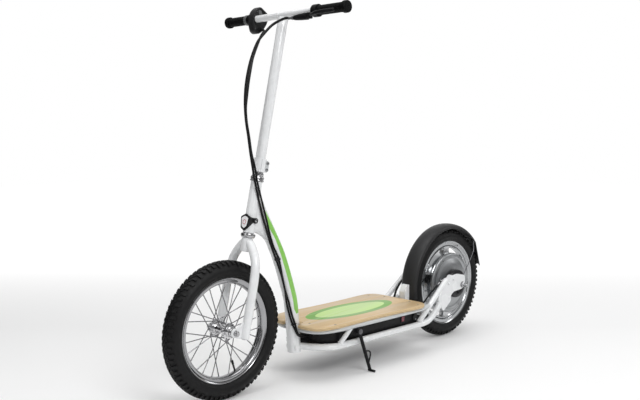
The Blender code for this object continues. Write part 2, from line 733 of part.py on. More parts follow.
def loft(name, rings, finish, wall=None):
    """Skin through rings of points that go round alike; open ends when it has a wall."""
    shape = bmesh.new()
    rows = [[shape.verts.new(point) for point in row] for row in rings]
    count = len(rows[0])
    for lower, upper in zip(rows, rows[1:]):
        for k in range(count):
            j = (k + 1) % count
            shape.faces.new((lower[k], lower[j], upper[j], upper[k]))
    if wall is None:
        shape.faces.new(rows[0])
        shape.faces.new(rows[-1])
        bmesh.ops.recalc_face_normals(shape, faces=shape.faces)
    mesh = bpy.data.meshes.new(name)
    shape.to_mesh(mesh)
    shape.free()
    obj = new_object(name, mesh, finish)
    if wall is not None:
        skin = obj.modifiers.new("wall", "SOLIDIFY")
        skin.thickness = wall
        skin.offset = -1.0
    mesh.shade_smooth()
    mesh.set_sharp_from_angle(angle=math.radians(45))
    return obj


def ellipse_ring(centre, major, minor, count):
    points = []
    for i in range(count):
        angle = 2 * math.pi * i / count
        points.append(centre + major * math.cos(angle) + minor * math.sin(angle))
    return points


def merged(name, pieces, finish):
    """One object holding several separate shapes, for a single Boolean step."""
    depsgraph = bpy.context.evaluated_depsgraph_get()
    depsgraph.update()
    shape = bmesh.new()
    for piece in pieces:
        mesh = bpy.data.meshes.new_from_object(piece.evaluated_get(depsgraph))
        mesh.transform(piece.matrix_world)
        shape.from_mesh(mesh)
        bpy.data.meshes.remove(mesh)
        bpy.data.objects.remove(piece, do_unlink=True)
    mesh = bpy.data.meshes.new(name)
    shape.to_mesh(mesh)
    shape.free()
    return new_object(name, mesh, finish)


def pivot(name, origin, direction=UP):
    """Empty on a joint's axis."""
    empty = bpy.data.objects.new(name, None)
    empty.empty_display_size = 0.03
    collection("electric_scooter").objects.link(empty)
    empty.matrix_world = facing(origin, direction)
    return empty


def ride(parent, *pieces):
    """Parent pieces to an empty without moving them."""
    bpy.context.view_layer.update()
    for piece in pieces:
        place = piece.matrix_world.copy()
        piece.parent = parent
        piece.matrix_parent_inverse = parent.matrix_world.inverted()
        piece.matrix_world = place


# Head tube and headset


def headset_axis(name, profile, finish, steps=20):
    return lathe(name, profile, steer(0.0), STEER_UP, finish, steps)


def make_head_tube():
    ring(
        "head_tube", HEAD_TUBE_RADIUS - HEAD_TUBE_WALL, HEAD_TUBE_RADIUS, HEAD_TUBE_BOTTOM,
        HEAD_TUBE_TOP, steer(0.0), STEER_UP, WHITE_PAINT
    )


def make_headset():
    tube_bore = HEAD_TUBE_RADIUS - HEAD_TUBE_WALL
    shaft = STEERER_RADIUS + GAP
    low_top = HEAD_TUBE_BOTTOM - GAP
    low_floor = low_top - CUP_FLOOR
    low_end = low_top - LOWER_CUP_HEIGHT
    low_bore = LOWER_CUP_RADIUS - CUP_WALL
    headset_axis("headset_lower_cup", [
        (LOWER_CUP_RADIUS - 0.001, low_top), (LOWER_CUP_RADIUS, low_top - 0.001),
        (LOWER_CUP_RADIUS, low_end), (low_bore, low_end),
        (low_bore, low_floor), (tube_bore, low_floor), (tube_bore, low_top),
    ], ALUMINIUM)
    headset_axis("headset_lower_bearing", [
        (low_bore - GAP, low_floor - GAP), (low_bore - GAP, low_end),
        (shaft, low_end), (shaft, low_floor - GAP),
    ], STEEL)
    high_low = HEAD_TUBE_TOP + GAP
    high_floor = high_low + CUP_FLOOR
    high_end = high_low + UPPER_CUP_HEIGHT
    high_bore = UPPER_CUP_RADIUS - CUP_WALL
    headset_axis("headset_upper_cup", [
        (UPPER_CUP_RADIUS - 0.001, high_end), (UPPER_CUP_RADIUS, high_end - 0.001),
        (UPPER_CUP_RADIUS, high_low), (tube_bore, high_low), (tube_bore, high_floor),
        (high_bore, high_floor), (high_bore, high_end),
    ], ALUMINIUM)
    headset_axis("headset_upper_bearing", [
        (high_bore - GAP, high_end), (high_bore - GAP, high_floor + GAP),
        (shaft, high_floor + GAP), (shaft, high_end),
    ], STEEL)
    nut = hexagon(
        "headset_locknut", LOCKNUT_RADIUS, high_end + GAP, high_end + GAP + LOCKNUT_HEIGHT,
        steer(0.0), STEER_UP, STEEL
    )
    cut(nut, disc("locknut_bore", shaft, high_end, STEM_BOTTOM, steer(0.0), STEER_UP, None))
    return nut


# Down tube, rails, stays and plates


def quadratic(start, bend, end, t):
    return start * (1 - t) ** 2 + bend * 2 * t * (1 - t) + end * t ** 2


def down_tube_rings(extra=0.0):
    """Sections of the down tube from its foot to the head tube, grown all round by extra."""
    count = 16
    path = thinned(smooth_path([at(x, 0.0, z) for x, z in DOWN_TUBE_PATH], 2), 1.5)
    path[0] = path[0] - UP * extra
    rings = []
    for i, centre in enumerate(path):
        before = path[max(i - 1, 0)]
        after = path[min(i + 1, len(path) - 1)]
        along = (after - before).normalized()
        if i == 0:
            along = UP.copy()
        across = SIDE.cross(along).normalized()
        radius = DOWN_TUBE_RADIUS + extra
        rings.append(ellipse_ring(centre, across * radius, SIDE * radius, count))
    rear = [at(x, 0.0, z) for x, z in FLARE_REAR] + [steer(HEAD_TUBE_TOP - 0.011)]
    front = [at(x, 0.0, z) for x, z in FLARE_FRONT] + [steer(HEAD_TUBE_BOTTOM + 0.005)]
    end_half_width = HEAD_TUBE_RADIUS - 0.0012
    flare_steps = 6
    for i in range(1, flare_steps + 1):
        t = i / flare_steps
        back = quadratic(*rear, t)
        nose = quadratic(*front, t)
        half_width = DOWN_TUBE_RADIUS * (1 - t) + end_half_width * t + extra
        reach = (nose - back) / 2
        reach += reach.normalized() * extra
        rings.append(ellipse_ring((back + nose) / 2, reach, SIDE * half_width, count))
    return rings


def make_down_tube():
    body = loft("down_tube", down_tube_rings(), WHITE_PAINT, wall=DOWN_TUBE_WALL)
    low = HEAD_TUBE_BOTTOM - LOWER_CUP_HEIGHT
    cut(
        body,
        disc("head_tube_seat", HEAD_TUBE_RADIUS + GAP, low - 0.02, HEAD_TUBE_TOP + 0.03,
             steer(0.0), STEER_UP, None),
        disc("lower_cup_seat", LOWER_CUP_RADIUS + GAP, low - 0.01, HEAD_TUBE_BOTTOM,
             steer(0.0), STEER_UP, None),
    )


def down_tube_seat(name):
    """Cutter that copes a neighbour round the down tube."""
    return loft(name, down_tube_rings(GAP), None)


def rail_path(side):
    return thinned(smooth_path([at(x, y * side, z) for x, y, z in RAIL_PATH], 2), 2.5)


def deck_rail_path(side):
    path = [at(x, y * side, DECK_RAIL_HEIGHT) for x, y in DECK_RAIL_PATH]
    return thinned(smooth_path(path, 2), 5.0)


def stay_ends(side):
    return [at(x, y * side, z) for x, y, z in (STAY_TOP, STAY_BOTTOM)]


def make_side_tubes(name_end, side):
    """Rails, stay and strut of one side, each coped round the tube that it meets."""
    seat = down_tube_seat("down_tube_seat_" + name_end)
    rail = tube("lower_rail_" + name_end, rail_path(side), RAIL_RADIUS, WHITE_PAINT, 10, RAIL_WALL)
    cut(rail, seat)
    rail_seat = tube("rail_seat_" + name_end, rail_path(side), RAIL_RADIUS + GAP, None, 10)
    top, bottom = stay_ends(side)
    stay = rod("rear_stay_" + name_end, bottom, top, STAY_RADIUS, WHITE_PAINT, 16, STAY_WALL)
    cut(stay, rail_seat)
    stay_seat = rod("stay_seat_" + name_end, bottom, top, STAY_RADIUS + GAP, None, 16)
    deck_rail = tube(
        "deck_rail_" + name_end, deck_rail_path(side), DECK_RAIL_RADIUS, LIGHT_PLASTIC, 8
    )
    deck_rail.data.materials[0] = material("grey_paint", (0.62, 0.64, 0.65), 0.4)
    cut(deck_rail, seat, stay_seat)
    deck_seat = tube(
        "deck_rail_seat_" + name_end, deck_rail_path(side), DECK_RAIL_RADIUS + GAP, None, 8
    )
    strut_low, strut_high = [at(x, y * side, z) for x, y, z in (STRUT_BOTTOM, STRUT_TOP)]
    strut = rod("front_strut_" + name_end, strut_low, strut_high, STRUT_RADIUS, WHITE_PAINT, 12)
    cut(strut, rail_seat, deck_seat)
    return stay_seat


def make_crossmember(seats):
    reach = STAY_TOP[1] + STAY_RADIUS
    bar = rod(
        "rear_crossmember", at(CROSS_X, -reach, CROSS_HEIGHT), at(CROSS_X, reach, CROSS_HEIGHT),
        CROSS_RADIUS, WHITE_PAINT, 16
    )
    cut(bar, *seats)
    around = 2 * CROSS_RADIUS
    for side in (-1, 1):
        start, end = sorted((side * CROSS_END_Y, side * (reach + GAP)))
        cut(bar, box_at(
            f"cross_trim_{side + 1}", at(CROSS_X - around, start, CROSS_HEIGHT - around),
            at(CROSS_X + around, end, CROSS_HEIGHT + around), None
        ))


def make_dropout_plate(name_end, side):
    middle = side * (PLATE_INNER_Y + PLATE_THICKNESS / 2)
    plate(
        "dropout_plate_" + name_end, rounded(PLATE_OUTLINE, 0.008), PLATE_THICKNESS,
        side_place(middle), WHITE_PAINT, [((0.0, TYRE_RADIUS), REAR_AXLE_RADIUS + GAP)]
    )


def make_stand_bracket():
    """Plate under the left deck rail with the stand's pin."""
    low = STAND_BRACKET_BOTTOM
    high = DECK_RAIL_HEIGHT - DECK_RAIL_RADIUS - GAP
    half = STAND_BRACKET_HALF_LENGTH
    outline = rounded([
        (STAND_X - half, high), (STAND_X - half * 0.6, low), (STAND_X + half * 0.6, low),
        (STAND_X + half, high),
    ], 0.004, 3)
    inner = STAND_Y - STAND_BOSS_WIDTH / 2 - GAP
    body = plate(
        "stand_bracket", outline, STAND_BRACKET_THICKNESS,
        side_place(inner - STAND_BRACKET_THICKNESS / 2), BLACK_PAINT
    )
    pin_end = inner + STAND_BOSS_WIDTH + 2 * GAP
    place = at(STAND_X, 0.0, STAND_HEIGHT)
    pin = disc(
        "stand_pin", STAND_PIN_RADIUS, inner - STAND_BRACKET_THICKNESS / 2, pin_end, place,
        SIDE, None, 12
    )
    head = disc(
        "stand_pin_head", STAND_PIN_RADIUS * 1.7, pin_end, pin_end + 0.0025, place, SIDE, None, 12
    )
    tie = box_at(
        "stand_bracket_top", at(STAND_X - half * 0.8, DECK_RAIL_Y - 0.004, high - 0.004),
        at(STAND_X + half * 0.8, inner, high), None
    )
    join(pin, head)
    join(body, tie, pin)


# Deck, tray and what it holds


def make_deck():
    half = smooth_path([Vector((x, y, 0.0)) for x, y in DECK_OUTLINE], 3)
    left = [(point.x, point.y) for point in half]
    right = [(x, -y) for x, y in reversed(left)]
    notch = DECK_NOTCH_HALF_WIDTH
    tube_rear = DOWN_TUBE_PATH[2][0] - DOWN_TUBE_RADIUS - 0.004
    mouth = [(DECK_FRONT_X, -notch), (DECK_FRONT_X, notch)]
    bay = rounded([
        mouth[0], (tube_rear, -notch * 0.75), (tube_rear, notch * 0.75), mouth[1],
    ], 0.016, 5)[5:15]
    bay = [mouth[0], *bay, mouth[1]]
    middle = DECK_TOP - DECK_THICKNESS / 2
    plate(
        "deck_board", left + right + bay, DECK_THICKNESS, Matrix.Translation(at(0.0, 0.0, middle)),
        WOOD
    )


def tray_outline(inset):
    front = TRAY_FRONT_X - inset
    rear = TRAY_REAR_X + inset
    half = TRAY_HALF_WIDTH - inset
    corner = TRAY_CORNER - inset
    back = 0.006
    points = arc((front - corner, half - corner), corner, 90.0, 0.0, 7)
    points += arc((front - corner, corner - half), corner, 0.0, -90.0, 7)
    points += arc((rear + back, back - half), back, -90.0, -180.0, 3)
    points += arc((rear + back, half - back), back, 180.0, 90.0, 3)
    return points


def make_tray():
    """Open-topped tray; the deck board closes it."""
    top = DECK_BOTTOM - GAP
    place = Matrix.Translation(at(0.0, 0.0, (TRAY_BOTTOM + top) / 2))
    body = plate("battery_tray", tray_outline(0.0), top - TRAY_BOTTOM, place, BLACK_PLASTIC)
    lift = Matrix.Translation((0.0, 0.0, TRAY_WALL))
    cut(body, plate(
        "tray_room", tray_outline(TRAY_WALL), top - TRAY_BOTTOM, lift @ place, None
    ))
    ports = [
        (TRAY_FRONT_X, BRAKE_PORT, BRAKE_CABLE_RADIUS),
        (TRAY_FRONT_X, WIRE_PORT, THROTTLE_WIRE_RADIUS),
        (TRAY_REAR_X, BRAKE_REAR_PORT, BRAKE_CABLE_RADIUS),
        (TRAY_REAR_X, MOTOR_PORT, MOTOR_CABLE_RADIUS),
    ]
    for i, (x, (y, z), radius) in enumerate(ports):
        cut(body, disc(
            f"cable_port_{i}", radius + PORT_SPACE, -0.02, 0.02, at(x, y, z), FORWARD, None, 12
        ))
    switch_length = SWITCH_LENGTH + 2 * GAP
    switch_tall = SWITCH_TALL + 2 * GAP
    cut(body, box_at(
        "switch_window",
        at(SWITCH_X - switch_length / 2, TRAY_HALF_WIDTH - 0.01, SWITCH_HEIGHT - switch_tall / 2),
        at(SWITCH_X + switch_length / 2, TRAY_HALF_WIDTH + 0.01, SWITCH_HEIGHT + switch_tall / 2),
        None
    ))
    cut(body, disc(
        "port_window", PORT_RADIUS + GAP, -0.01, 0.01, at(PORT_X, TRAY_HALF_WIDTH, PORT_HEIGHT),
        SIDE, None
    ))


def make_battery():
    floor = TRAY_BOTTOM + TRAY_WALL + GAP
    box_at(
        "battery_pack",
        at(BATTERY_FRONT_X - BATTERY_LENGTH, -BATTERY_WIDTH / 2, floor),
        at(BATTERY_FRONT_X, BATTERY_WIDTH / 2, floor + BATTERY_HEIGHT), BATTERY_CASE, 0.003
    )


def make_controller():
    floor = TRAY_BOTTOM + TRAY_WALL + GAP
    body = box_at(
        "motor_controller",
        at(CONTROLLER_FRONT_X - CONTROLLER_LENGTH, -CONTROLLER_WIDTH / 2, floor),
        at(CONTROLLER_FRONT_X, CONTROLLER_WIDTH / 2, floor + CONTROLLER_HEIGHT), ALUMINIUM
    )
    fins = 6
    pitch = CONTROLLER_LENGTH / fins
    grooves = []
    for i in range(fins - 1):
        x = CONTROLLER_FRONT_X - pitch * (i + 1)
        grooves.append(box_at(
            f"fin_groove_{i}",
            at(x - pitch / 4, -CONTROLLER_WIDTH, floor + CONTROLLER_HEIGHT - CONTROLLER_FIN_DEPTH),
            at(x + pitch / 4, CONTROLLER_WIDTH, floor + CONTROLLER_HEIGHT + 0.01), None
        ))
    cut(body, merged("fin_grooves", grooves, None))


def make_switch():
    """Bezel in the tray's left wall, and its rocker."""
    wall = TRAY_HALF_WIDTH
    body = box_at(
        "power_switch_bezel",
        at(SWITCH_X - SWITCH_LENGTH / 2, wall - SWITCH_DEPTH, SWITCH_HEIGHT - SWITCH_TALL / 2),
        at(SWITCH_X + SWITCH_LENGTH / 2, wall, SWITCH_HEIGHT + SWITCH_TALL / 2), BLACK_PLASTIC
    )
    rim = box_at(
        "switch_rim",
        at(SWITCH_X - SWITCH_LENGTH / 2 - SWITCH_BEZEL, wall + GAP,
           SWITCH_HEIGHT - SWITCH_TALL / 2 - SWITCH_BEZEL),
        at(SWITCH_X + SWITCH_LENGTH / 2 + SWITCH_BEZEL, wall + GAP + 0.0015,
           SWITCH_HEIGHT + SWITCH_TALL / 2 + SWITCH_BEZEL), None
    )
    neck = box_at(
        "switch_neck",
        at(SWITCH_X - SWITCH_LENGTH / 2, wall - 0.002, SWITCH_HEIGHT - SWITCH_TALL / 2),
        at(SWITCH_X + SWITCH_LENGTH / 2, wall + GAP + 0.001, SWITCH_HEIGHT + SWITCH_TALL / 2),
        None
    )
    window_length = SWITCH_LENGTH - 2 * SWITCH_BEZEL
    window_tall = SWITCH_TALL - 2 * SWITCH_BEZEL
    room = box_at(
        "switch_room",
        at(SWITCH_X - window_length / 2, wall - SWITCH_DEPTH + 0.002,
           SWITCH_HEIGHT - window_tall / 2),
        at(SWITCH_X + window_length / 2, wall + 0.01, SWITCH_HEIGHT + window_tall / 2), None
    )
    join(body, neck, rim)
    cut(body, room)
    hinge = pivot("power_rocker_axis", at(SWITCH_X, wall - 0.003, SWITCH_HEIGHT), FORWARD)
    rocker_length = window_length - 0.001
    rocker_tall = window_tall - 0.0016
    depth = 0.003 + GAP + 0.0015 + ROCKER_PROUD
    rocker = block(
        "power_rocker", (rocker_length, depth, rocker_tall),
        Matrix.Translation(at(SWITCH_X, wall - 0.003 + depth / 2 - 0.002, SWITCH_HEIGHT))
        @ Matrix.Rotation(-ROCKER_TILT, 4, "X"), RED_PLASTIC, 0.0012
    )
    ride(hinge, rocker)


def make_charge_port():
    """Socket in the tray's left wall, and the cap that hangs from the top of its rim."""
    wall = TRAY_HALF_WIDTH
    place = at(PORT_X, 0.0, PORT_HEIGHT)
    face = wall + GAP + 0.0015
    floor = wall - PORT_DEPTH
    bore = PORT_RADIUS - 0.002
    lathe("charge_port", [
        (0.0, floor + 0.002), (bore, floor + 0.002), (bore, face), (PORT_RADIUS + 0.0022, face),
        (PORT_RADIUS + 0.0022, wall + GAP), (PORT_RADIUS, wall + GAP), (PORT_RADIUS, floor),
        (0.0, floor),
    ], place, SIDE, BLACK_PLASTIC, closed=False)
    low = face + GAP
    plug = bore - 0.0006
    cap = lathe("charge_port_cap", [
        (0.0, low + CAP_THICKNESS), (CAP_RADIUS, low + CAP_THICKNESS), (CAP_RADIUS, low),
        (plug, low), (plug, low - 0.0020), (0.0, low - 0.0020),
    ], place, SIDE, RUBBER, closed=False)
    hinge_height = PORT_HEIGHT + CAP_RADIUS + 0.0005
    barrel = rod(
        "cap_barrel", at(PORT_X - 0.005, low + CAP_THICKNESS / 2, hinge_height),
        at(PORT_X + 0.005, low + CAP_THICKNESS / 2, hinge_height), CAP_HINGE_RADIUS, None, 10
    )
    join(cap, barrel)
    ride(pivot("charge_port_cap_axis",
               at(PORT_X, low + CAP_THICKNESS / 2, hinge_height), FORWARD), cap)


# Rear mudguard and its bracket


def fender_section(angle, radius, edge_radius, half_width):
    """Arched section of the mudguard at an angle round the rear axle."""
    direction = Vector((math.cos(angle), 0.0, math.sin(angle)))
    points = []
    count = 8
    for i in range(count + 1):
        across = math.pi * i / count
        y = half_width * math.cos(across)
        lift = math.sin(across) ** 0.8
        points.append(
            REAR_AXLE + direction * (edge_radius + (radius - edge_radius) * lift) + SIDE * y
        )
    return points


def make_fender():
    shape = bmesh.new()
    steps = 20
    rows = []
    for i in range(steps + 1):
        degrees = FENDER_FRONT_ANGLE + (FENDER_REAR_ANGLE - FENDER_FRONT_ANGLE) * i / steps
        rows.append(fender_section(
            math.radians(degrees), FENDER_RADIUS, FENDER_EDGE_RADIUS, FENDER_HALF_WIDTH
        ))
    last = rows[-1]
    tip = at(FLAP_REAR_X, 0.0, TYRE_RADIUS + FLAP_RISE)
    crown = last[len(last) // 2]
    drop = tip - crown
    for t in (0.5, 1.0):
        rows.append([point + drop * t + (crown - point).project(drop) * t * 0.6 for point in last])
    grid = [[shape.verts.new(point) for point in row] for row in rows]
    for first, second in zip(grid, grid[1:]):
        for k in range(len(first) - 1):
            shape.faces.new((first[k], first[k + 1], second[k + 1], second[k]))
    bmesh.ops.recalc_face_normals(shape, faces=shape.faces)
    middle = shape.faces[len(shape.faces) // 3]
    outward = middle.calc_center_median() - REAR_AXLE
    if middle.normal.dot(outward) < 0:
        bmesh.ops.reverse_faces(shape, faces=shape.faces)
    mesh = bpy.data.meshes.new("rear_fender")
    shape.to_mesh(mesh)
    shape.free()
    obj = new_object("rear_fender", mesh, GREY_PLASTIC)
    skin = obj.modifiers.new("wall", "SOLIDIFY")
    skin.thickness = FENDER_THICKNESS
    skin.offset = -1.0
    mesh.shade_smooth()
    mesh.set_sharp_from_angle(angle=math.radians(45))


def make_fender_bracket():
    """Folded bracket between the rear crossmember and the front of the mudguard."""
    rear = FENDER_RADIUS + GAP
    base = CROSS_HEIGHT + CROSS_RADIUS + GAP
    top = TYRE_RADIUS + BRACKET_RISE
    slope = TYRE_RADIUS - BRACKET_SLOPE_DROP
    flat = (BRACKET_FRONT_X - rear) * BRACKET_FLAT_SHARE
    outline = [
        (rear, base), (BRACKET_FRONT_X, base), (BRACKET_FRONT_X, slope), (rear + flat, top),
        (rear, top),
    ]
    body = plate(
        "fender_bracket", outline, 2 * BRACKET_HALF_WIDTH, side_place(0.0), WHITE_PAINT
    )
    wall = BRACKET_WALL
    inside = [
        (rear + wall, base - 0.01), (BRACKET_FRONT_X - wall, base - 0.01),
        (BRACKET_FRONT_X - wall, slope - wall * 0.6),
        (rear + max(flat - wall * 0.4, wall * 1.2), top - wall), (rear + wall, top - wall),
    ]
    cut(body, plate(
        "bracket_room", inside, 2 * (BRACKET_HALF_WIDTH - wall), side_place(0.0), None
    ))


def make_fender_stay():
    y = PLATE_INNER_Y - GAP - FENDER_STAY_RADIUS - 0.0015
    half = [REAR_AXLE + Vector((x, y, rise)) for x, rise in FENDER_STAY_ROOT]
    angle = math.radians(FENDER_STAY_ANGLE)
    out = Vector((math.cos(angle), 0.0, math.sin(angle)))
    half += [
        REAR_AXLE + out * (TYRE_RADIUS + beyond) + SIDE * y for beyond, y in FENDER_STAY_ARCH
    ]
    route = half + list(reversed(mirror_y(half[:-1], -1)))
    tube("fender_stay", thinned(smooth_path(route, 3), 5.0), FENDER_STAY_RADIUS, STEEL, 8)


# Rear wheel, motor and brake


def rim_profile():
    half = RIM_HALF_WIDTH
    bed = RIM_BED_RADIUS - GAP
    wall = RIM_WALL
    return [
        (RIM_FLANGE_RADIUS, half), (RIM_FLANGE_RADIUS, half - wall), (bed, half - wall),
        (bed, wall - half), (RIM_FLANGE_RADIUS, wall - half), (RIM_FLANGE_RADIUS, -half),
        (RIM_INNER_RADIUS + 0.006, -half), (RIM_INNER_RADIUS, -half * 0.55),
        (RIM_INNER_RADIUS, half * 0.55), (RIM_INNER_RADIUS + 0.006, half),
    ]


def tyre_profile():
    """Casing from the crown round to the beads and back along its inside."""
    bead_y = RIM_HALF_WIDTH - RIM_WALL - GAP
    lip = RIM_FLANGE_RADIUS + 0.0006
    width = TYRE_HALF_WIDTH
    mid = (TYRE_RADIUS + RIM_FLANGE_RADIUS) / 2 - 0.002
    outer = [
        (TYRE_RADIUS, TREAD_HALF_WIDTH), (TYRE_RADIUS - 0.0070, width * 0.76),
        (mid + 0.0050, width), (mid - 0.0080, width * 0.97),
        (lip, bead_y), (RIM_BED_RADIUS, bead_y),
    ]
    wall = TYRE_WALL
    inner = [
        (RIM_BED_RADIUS, bead_y - wall), (lip + 0.0050, bead_y - wall),
        (mid - 0.0060, width - wall), (TYRE_RADIUS - TYRE_SHOULDER, TREAD_HALF_WIDTH),
    ]
    upper = list(reversed(outer))
    lower = [(radius, -y) for radius, y in outer]
    bore = [(radius, -y) for radius, y in inner] + list(reversed(inner))
    return upper + lower + bore


def make_tyre(name, axle):
    return lathe(name, tyre_profile(), axle, SIDE, RUBBER, WHEEL_STEPS)


def rim_ring(name, axle, finish):
    return lathe(name, rim_profile(), axle, SIDE, finish, WHEEL_STEPS)


def make_rear_wheel():
    """One casting: rim, six block spokes and the motor's drum with its right end."""
    wheel = rim_ring("rear_wheel", REAR_AXLE, ALUMINIUM)
    blocks = []
    reach = RIM_INNER_RADIUS - MOTOR_RADIUS + 0.006
    for i in range(SPOKE_BLOCKS):
        angle = SPOKE_BLOCK_TURN + 2 * math.pi * i / SPOKE_BLOCKS
        out = Vector((math.cos(angle), 0.0, math.sin(angle)))
        middle = REAR_AXLE + out * (MOTOR_RADIUS + reach / 2 - 0.003)
        place = axes_matrix(middle, out, SIDE, out.cross(SIDE))
        blocks.append(block(
            f"spoke_block_{i}", (reach, SPOKE_BLOCK_DEPTH, SPOKE_BLOCK_WIDTH), place, None
        ))
    bore = REAR_AXLE_RADIUS + 0.0015
    right = MOTOR_RIGHT_Y
    drum = lathe("motor_drum", [
        (MOTOR_RADIUS, MOTOR_LEFT_Y - GAP), (MOTOR_RADIUS, right + 0.012),
        (MOTOR_RADIUS - 0.014, right), (bore + 0.012, right - 0.004), (bore, right - 0.004),
        (bore, right + 0.004), (MOTOR_RADIUS - 0.020, right + MOTOR_WALL),
        (MOTOR_RADIUS - MOTOR_WALL, right + 0.018), (MOTOR_RADIUS - MOTOR_WALL, MOTOR_LEFT_Y - GAP),
    ], REAR_AXLE, SIDE, None, 32)
    join(wheel, merged("spoke_blocks", blocks, None), drum)
    return wheel


def make_motor_cover():
    """Dished left cover of the hub motor."""
    low = MOTOR_LEFT_Y
    top = low + COVER_DOME_HEIGHT
    bore = REAR_AXLE_RADIUS + 0.0015
    wall = COVER_THICKNESS
    rim = MOTOR_RADIUS
    return lathe("motor_cover", [
        (bore, top), (0.030, top), (0.060, top - 0.002), (rim - 0.018, top - 0.007),
        (rim - 0.010, low + COVER_RIM_HEIGHT + 0.003), (rim, low + COVER_RIM_HEIGHT), (rim, low),
        (rim - 0.012, low), (rim - 0.022, top - 0.007 - wall), (0.060, top - 0.002 - wall),
        (bore, top - wall),
    ], REAR_AXLE, SIDE, ALUMINIUM, 32)


def make_rear_axle():
    """Fixed through axle: stator seat, spacers against the plates, and a nut each side."""
    end = REAR_AXLE_HALF_LENGTH
    high = PLATE_INNER_Y - GAP
    low = BRAKE_COVER_OUTER_Y + GAP
    right = MOTOR_RIGHT_Y - 0.004 - GAP
    axle = lathe("rear_axle", [
        (0.0, end), (REAR_AXLE_RADIUS, end), (REAR_AXLE_RADIUS, high), (SPACER_RADIUS, high),
        (SPACER_RADIUS, low), (REAR_AXLE_RADIUS, low), (REAR_AXLE_RADIUS, right),
        (SPACER_RADIUS, right), (SPACER_RADIUS, -high), (REAR_AXLE_RADIUS, -high),
        (REAR_AXLE_RADIUS, -end), (0.0, -end),
    ], REAR_AXLE, SIDE, STEEL, 14, closed=False)
    nut_low = PLATE_OUTER_Y + GAP
    for side in (-1, 1):
        join(axle, hexagon(f"rear_nut_{side + 1}", REAR_NUT_RADIUS, nut_low,
                           nut_low + REAR_NUT_HEIGHT, REAR_AXLE, SIDE * side, None))


def make_stator():
    ring(
        "motor_stator", REAR_AXLE_RADIUS + GAP, STATOR_RADIUS, -STATOR_HALF_WIDTH,
        STATOR_HALF_WIDTH, REAR_AXLE, SIDE, DARK_STEEL, 28
    )


def make_brake():
    """Drum on the wheel, and the fixed cover with its band's anchor."""
    outer = BRAKE_COVER_OUTER_Y
    low = outer - BRAKE_COVER_DEPTH
    wall = BRAKE_COVER_WALL
    bore = REAR_AXLE_RADIUS + GAP
    rim = BRAKE_COVER_RADIUS
    lathe("brake_cover", [
        (bore, outer), (rim - 0.004, outer), (rim, outer - 0.004), (rim, low), (rim - wall, low),
        (rim - wall, outer - 0.005), (rim - 0.006, outer - wall), (bore, outer - wall),
    ], REAR_AXLE, SIDE, DARK_STEEL, 28)
    seat = MOTOR_LEFT_Y + COVER_DOME_HEIGHT + GAP
    drum_bore = REAR_AXLE_RADIUS + 0.0015
    drum_top = seat + BRAKE_DRUM_WIDTH + 0.003
    drum = lathe("brake_drum", [
        (BRAKE_DRUM_RADIUS, drum_top), (BRAKE_DRUM_RADIUS, drum_top - BRAKE_DRUM_WIDTH),
        (0.024, drum_top - BRAKE_DRUM_WIDTH), (0.020, seat), (drum_bore, seat),
        (drum_bore, seat + 0.005), (0.018, seat + 0.006), (0.022, drum_top - BRAKE_DRUM_WIDTH + 0.003),
        (BRAKE_DRUM_RADIUS - 0.003, drum_top - BRAKE_DRUM_WIDTH + 0.003),
        (BRAKE_DRUM_RADIUS - 0.003, drum_top),
    ], REAR_AXLE, SIDE, STEEL, 24)
    return drum


def make_brake_arm():
    """Arm on the brake cover that the cable pulls."""
    low = BRAKE_COVER_OUTER_Y + GAP
    thickness = BRAKE_ARM_THICKNESS
    root = (BRAKE_ARM_PIVOT_X, TYRE_RADIUS - BRAKE_ARM_PIVOT_DROP)
    tip = (BRAKE_ARM_END_X, TYRE_RADIUS + BRAKE_ARM_END_RISE)
    lean = math.degrees(math.atan2(tip[1] - root[1], tip[0] - root[0]))
    outline = arc(root, 0.0085, lean + 90.0, lean + 270.0, 7)
    outline += arc(tip, 0.0060, lean - 90.0, lean + 90.0, 7)
    arm = plate("brake_arm", outline, thickness, side_place(low + thickness / 2), STEEL)
    clamp = disc(
        "cable_clamp", 0.0050, low - 0.0055, low + thickness + 0.0035,
        at(tip[0], 0.0, tip[1]), SIDE, None, 12
    )
    join(arm, clamp)
    ride(pivot("brake_arm_axis", at(root[0], low, root[1]), SIDE), arm)


# Fork, front wheel and stem


def make_fork():
    bore = STEERER_RADIUS - STEERER_WALL
    floor = CROWN_TOP - 0.002
    fork = lathe("fork", [
        (0.0, floor), (bore, floor), (bore, STEERER_TOP), (STEERER_RADIUS, STEERER_TOP),
        (STEERER_RADIUS, CROWN_TOP), (CROWN_RADIUS, CROWN_TOP), (CROWN_RADIUS, CROWN_BOTTOM),
        (0.0, CROWN_BOTTOM),
    ], steer(0.0), STEER_UP, WHITE_PAINT, closed=False)
    y = FORK_LEG_Y
    bends = [
        (CROWN_TOP - 0.012, 0.0070), (-0.0290, 0.0190), (-0.0400, 0.0290), (-0.0530, 0.0395),
        (-0.0680, y - 0.0130), (-0.0860, y - 0.0060), (-0.1060, y - 0.0025), (-0.1450, y),
        (-0.2000, y), (FORK_LEG_BOTTOM, y),
    ]
    for side in (-1, 1):
        route = smooth_path([steer(up, across * side) for up, across in bends], 2)
        route = thinned(route, 5.0)
        foot = (route[-1] - route[-2]).normalized()
        route.insert(-1, route[-1] - foot * FORK_TAPER_LENGTH)
        radii = [0.8] + [1.0] * (len(route) - 2) + [FORK_LEG_TAPER]
        leg = tube(f"fork_leg_{side + 1}", route, FORK_LEG_RADIUS, None, 10, radii=radii)
        join(fork, leg, make_dropout(side))
    return fork


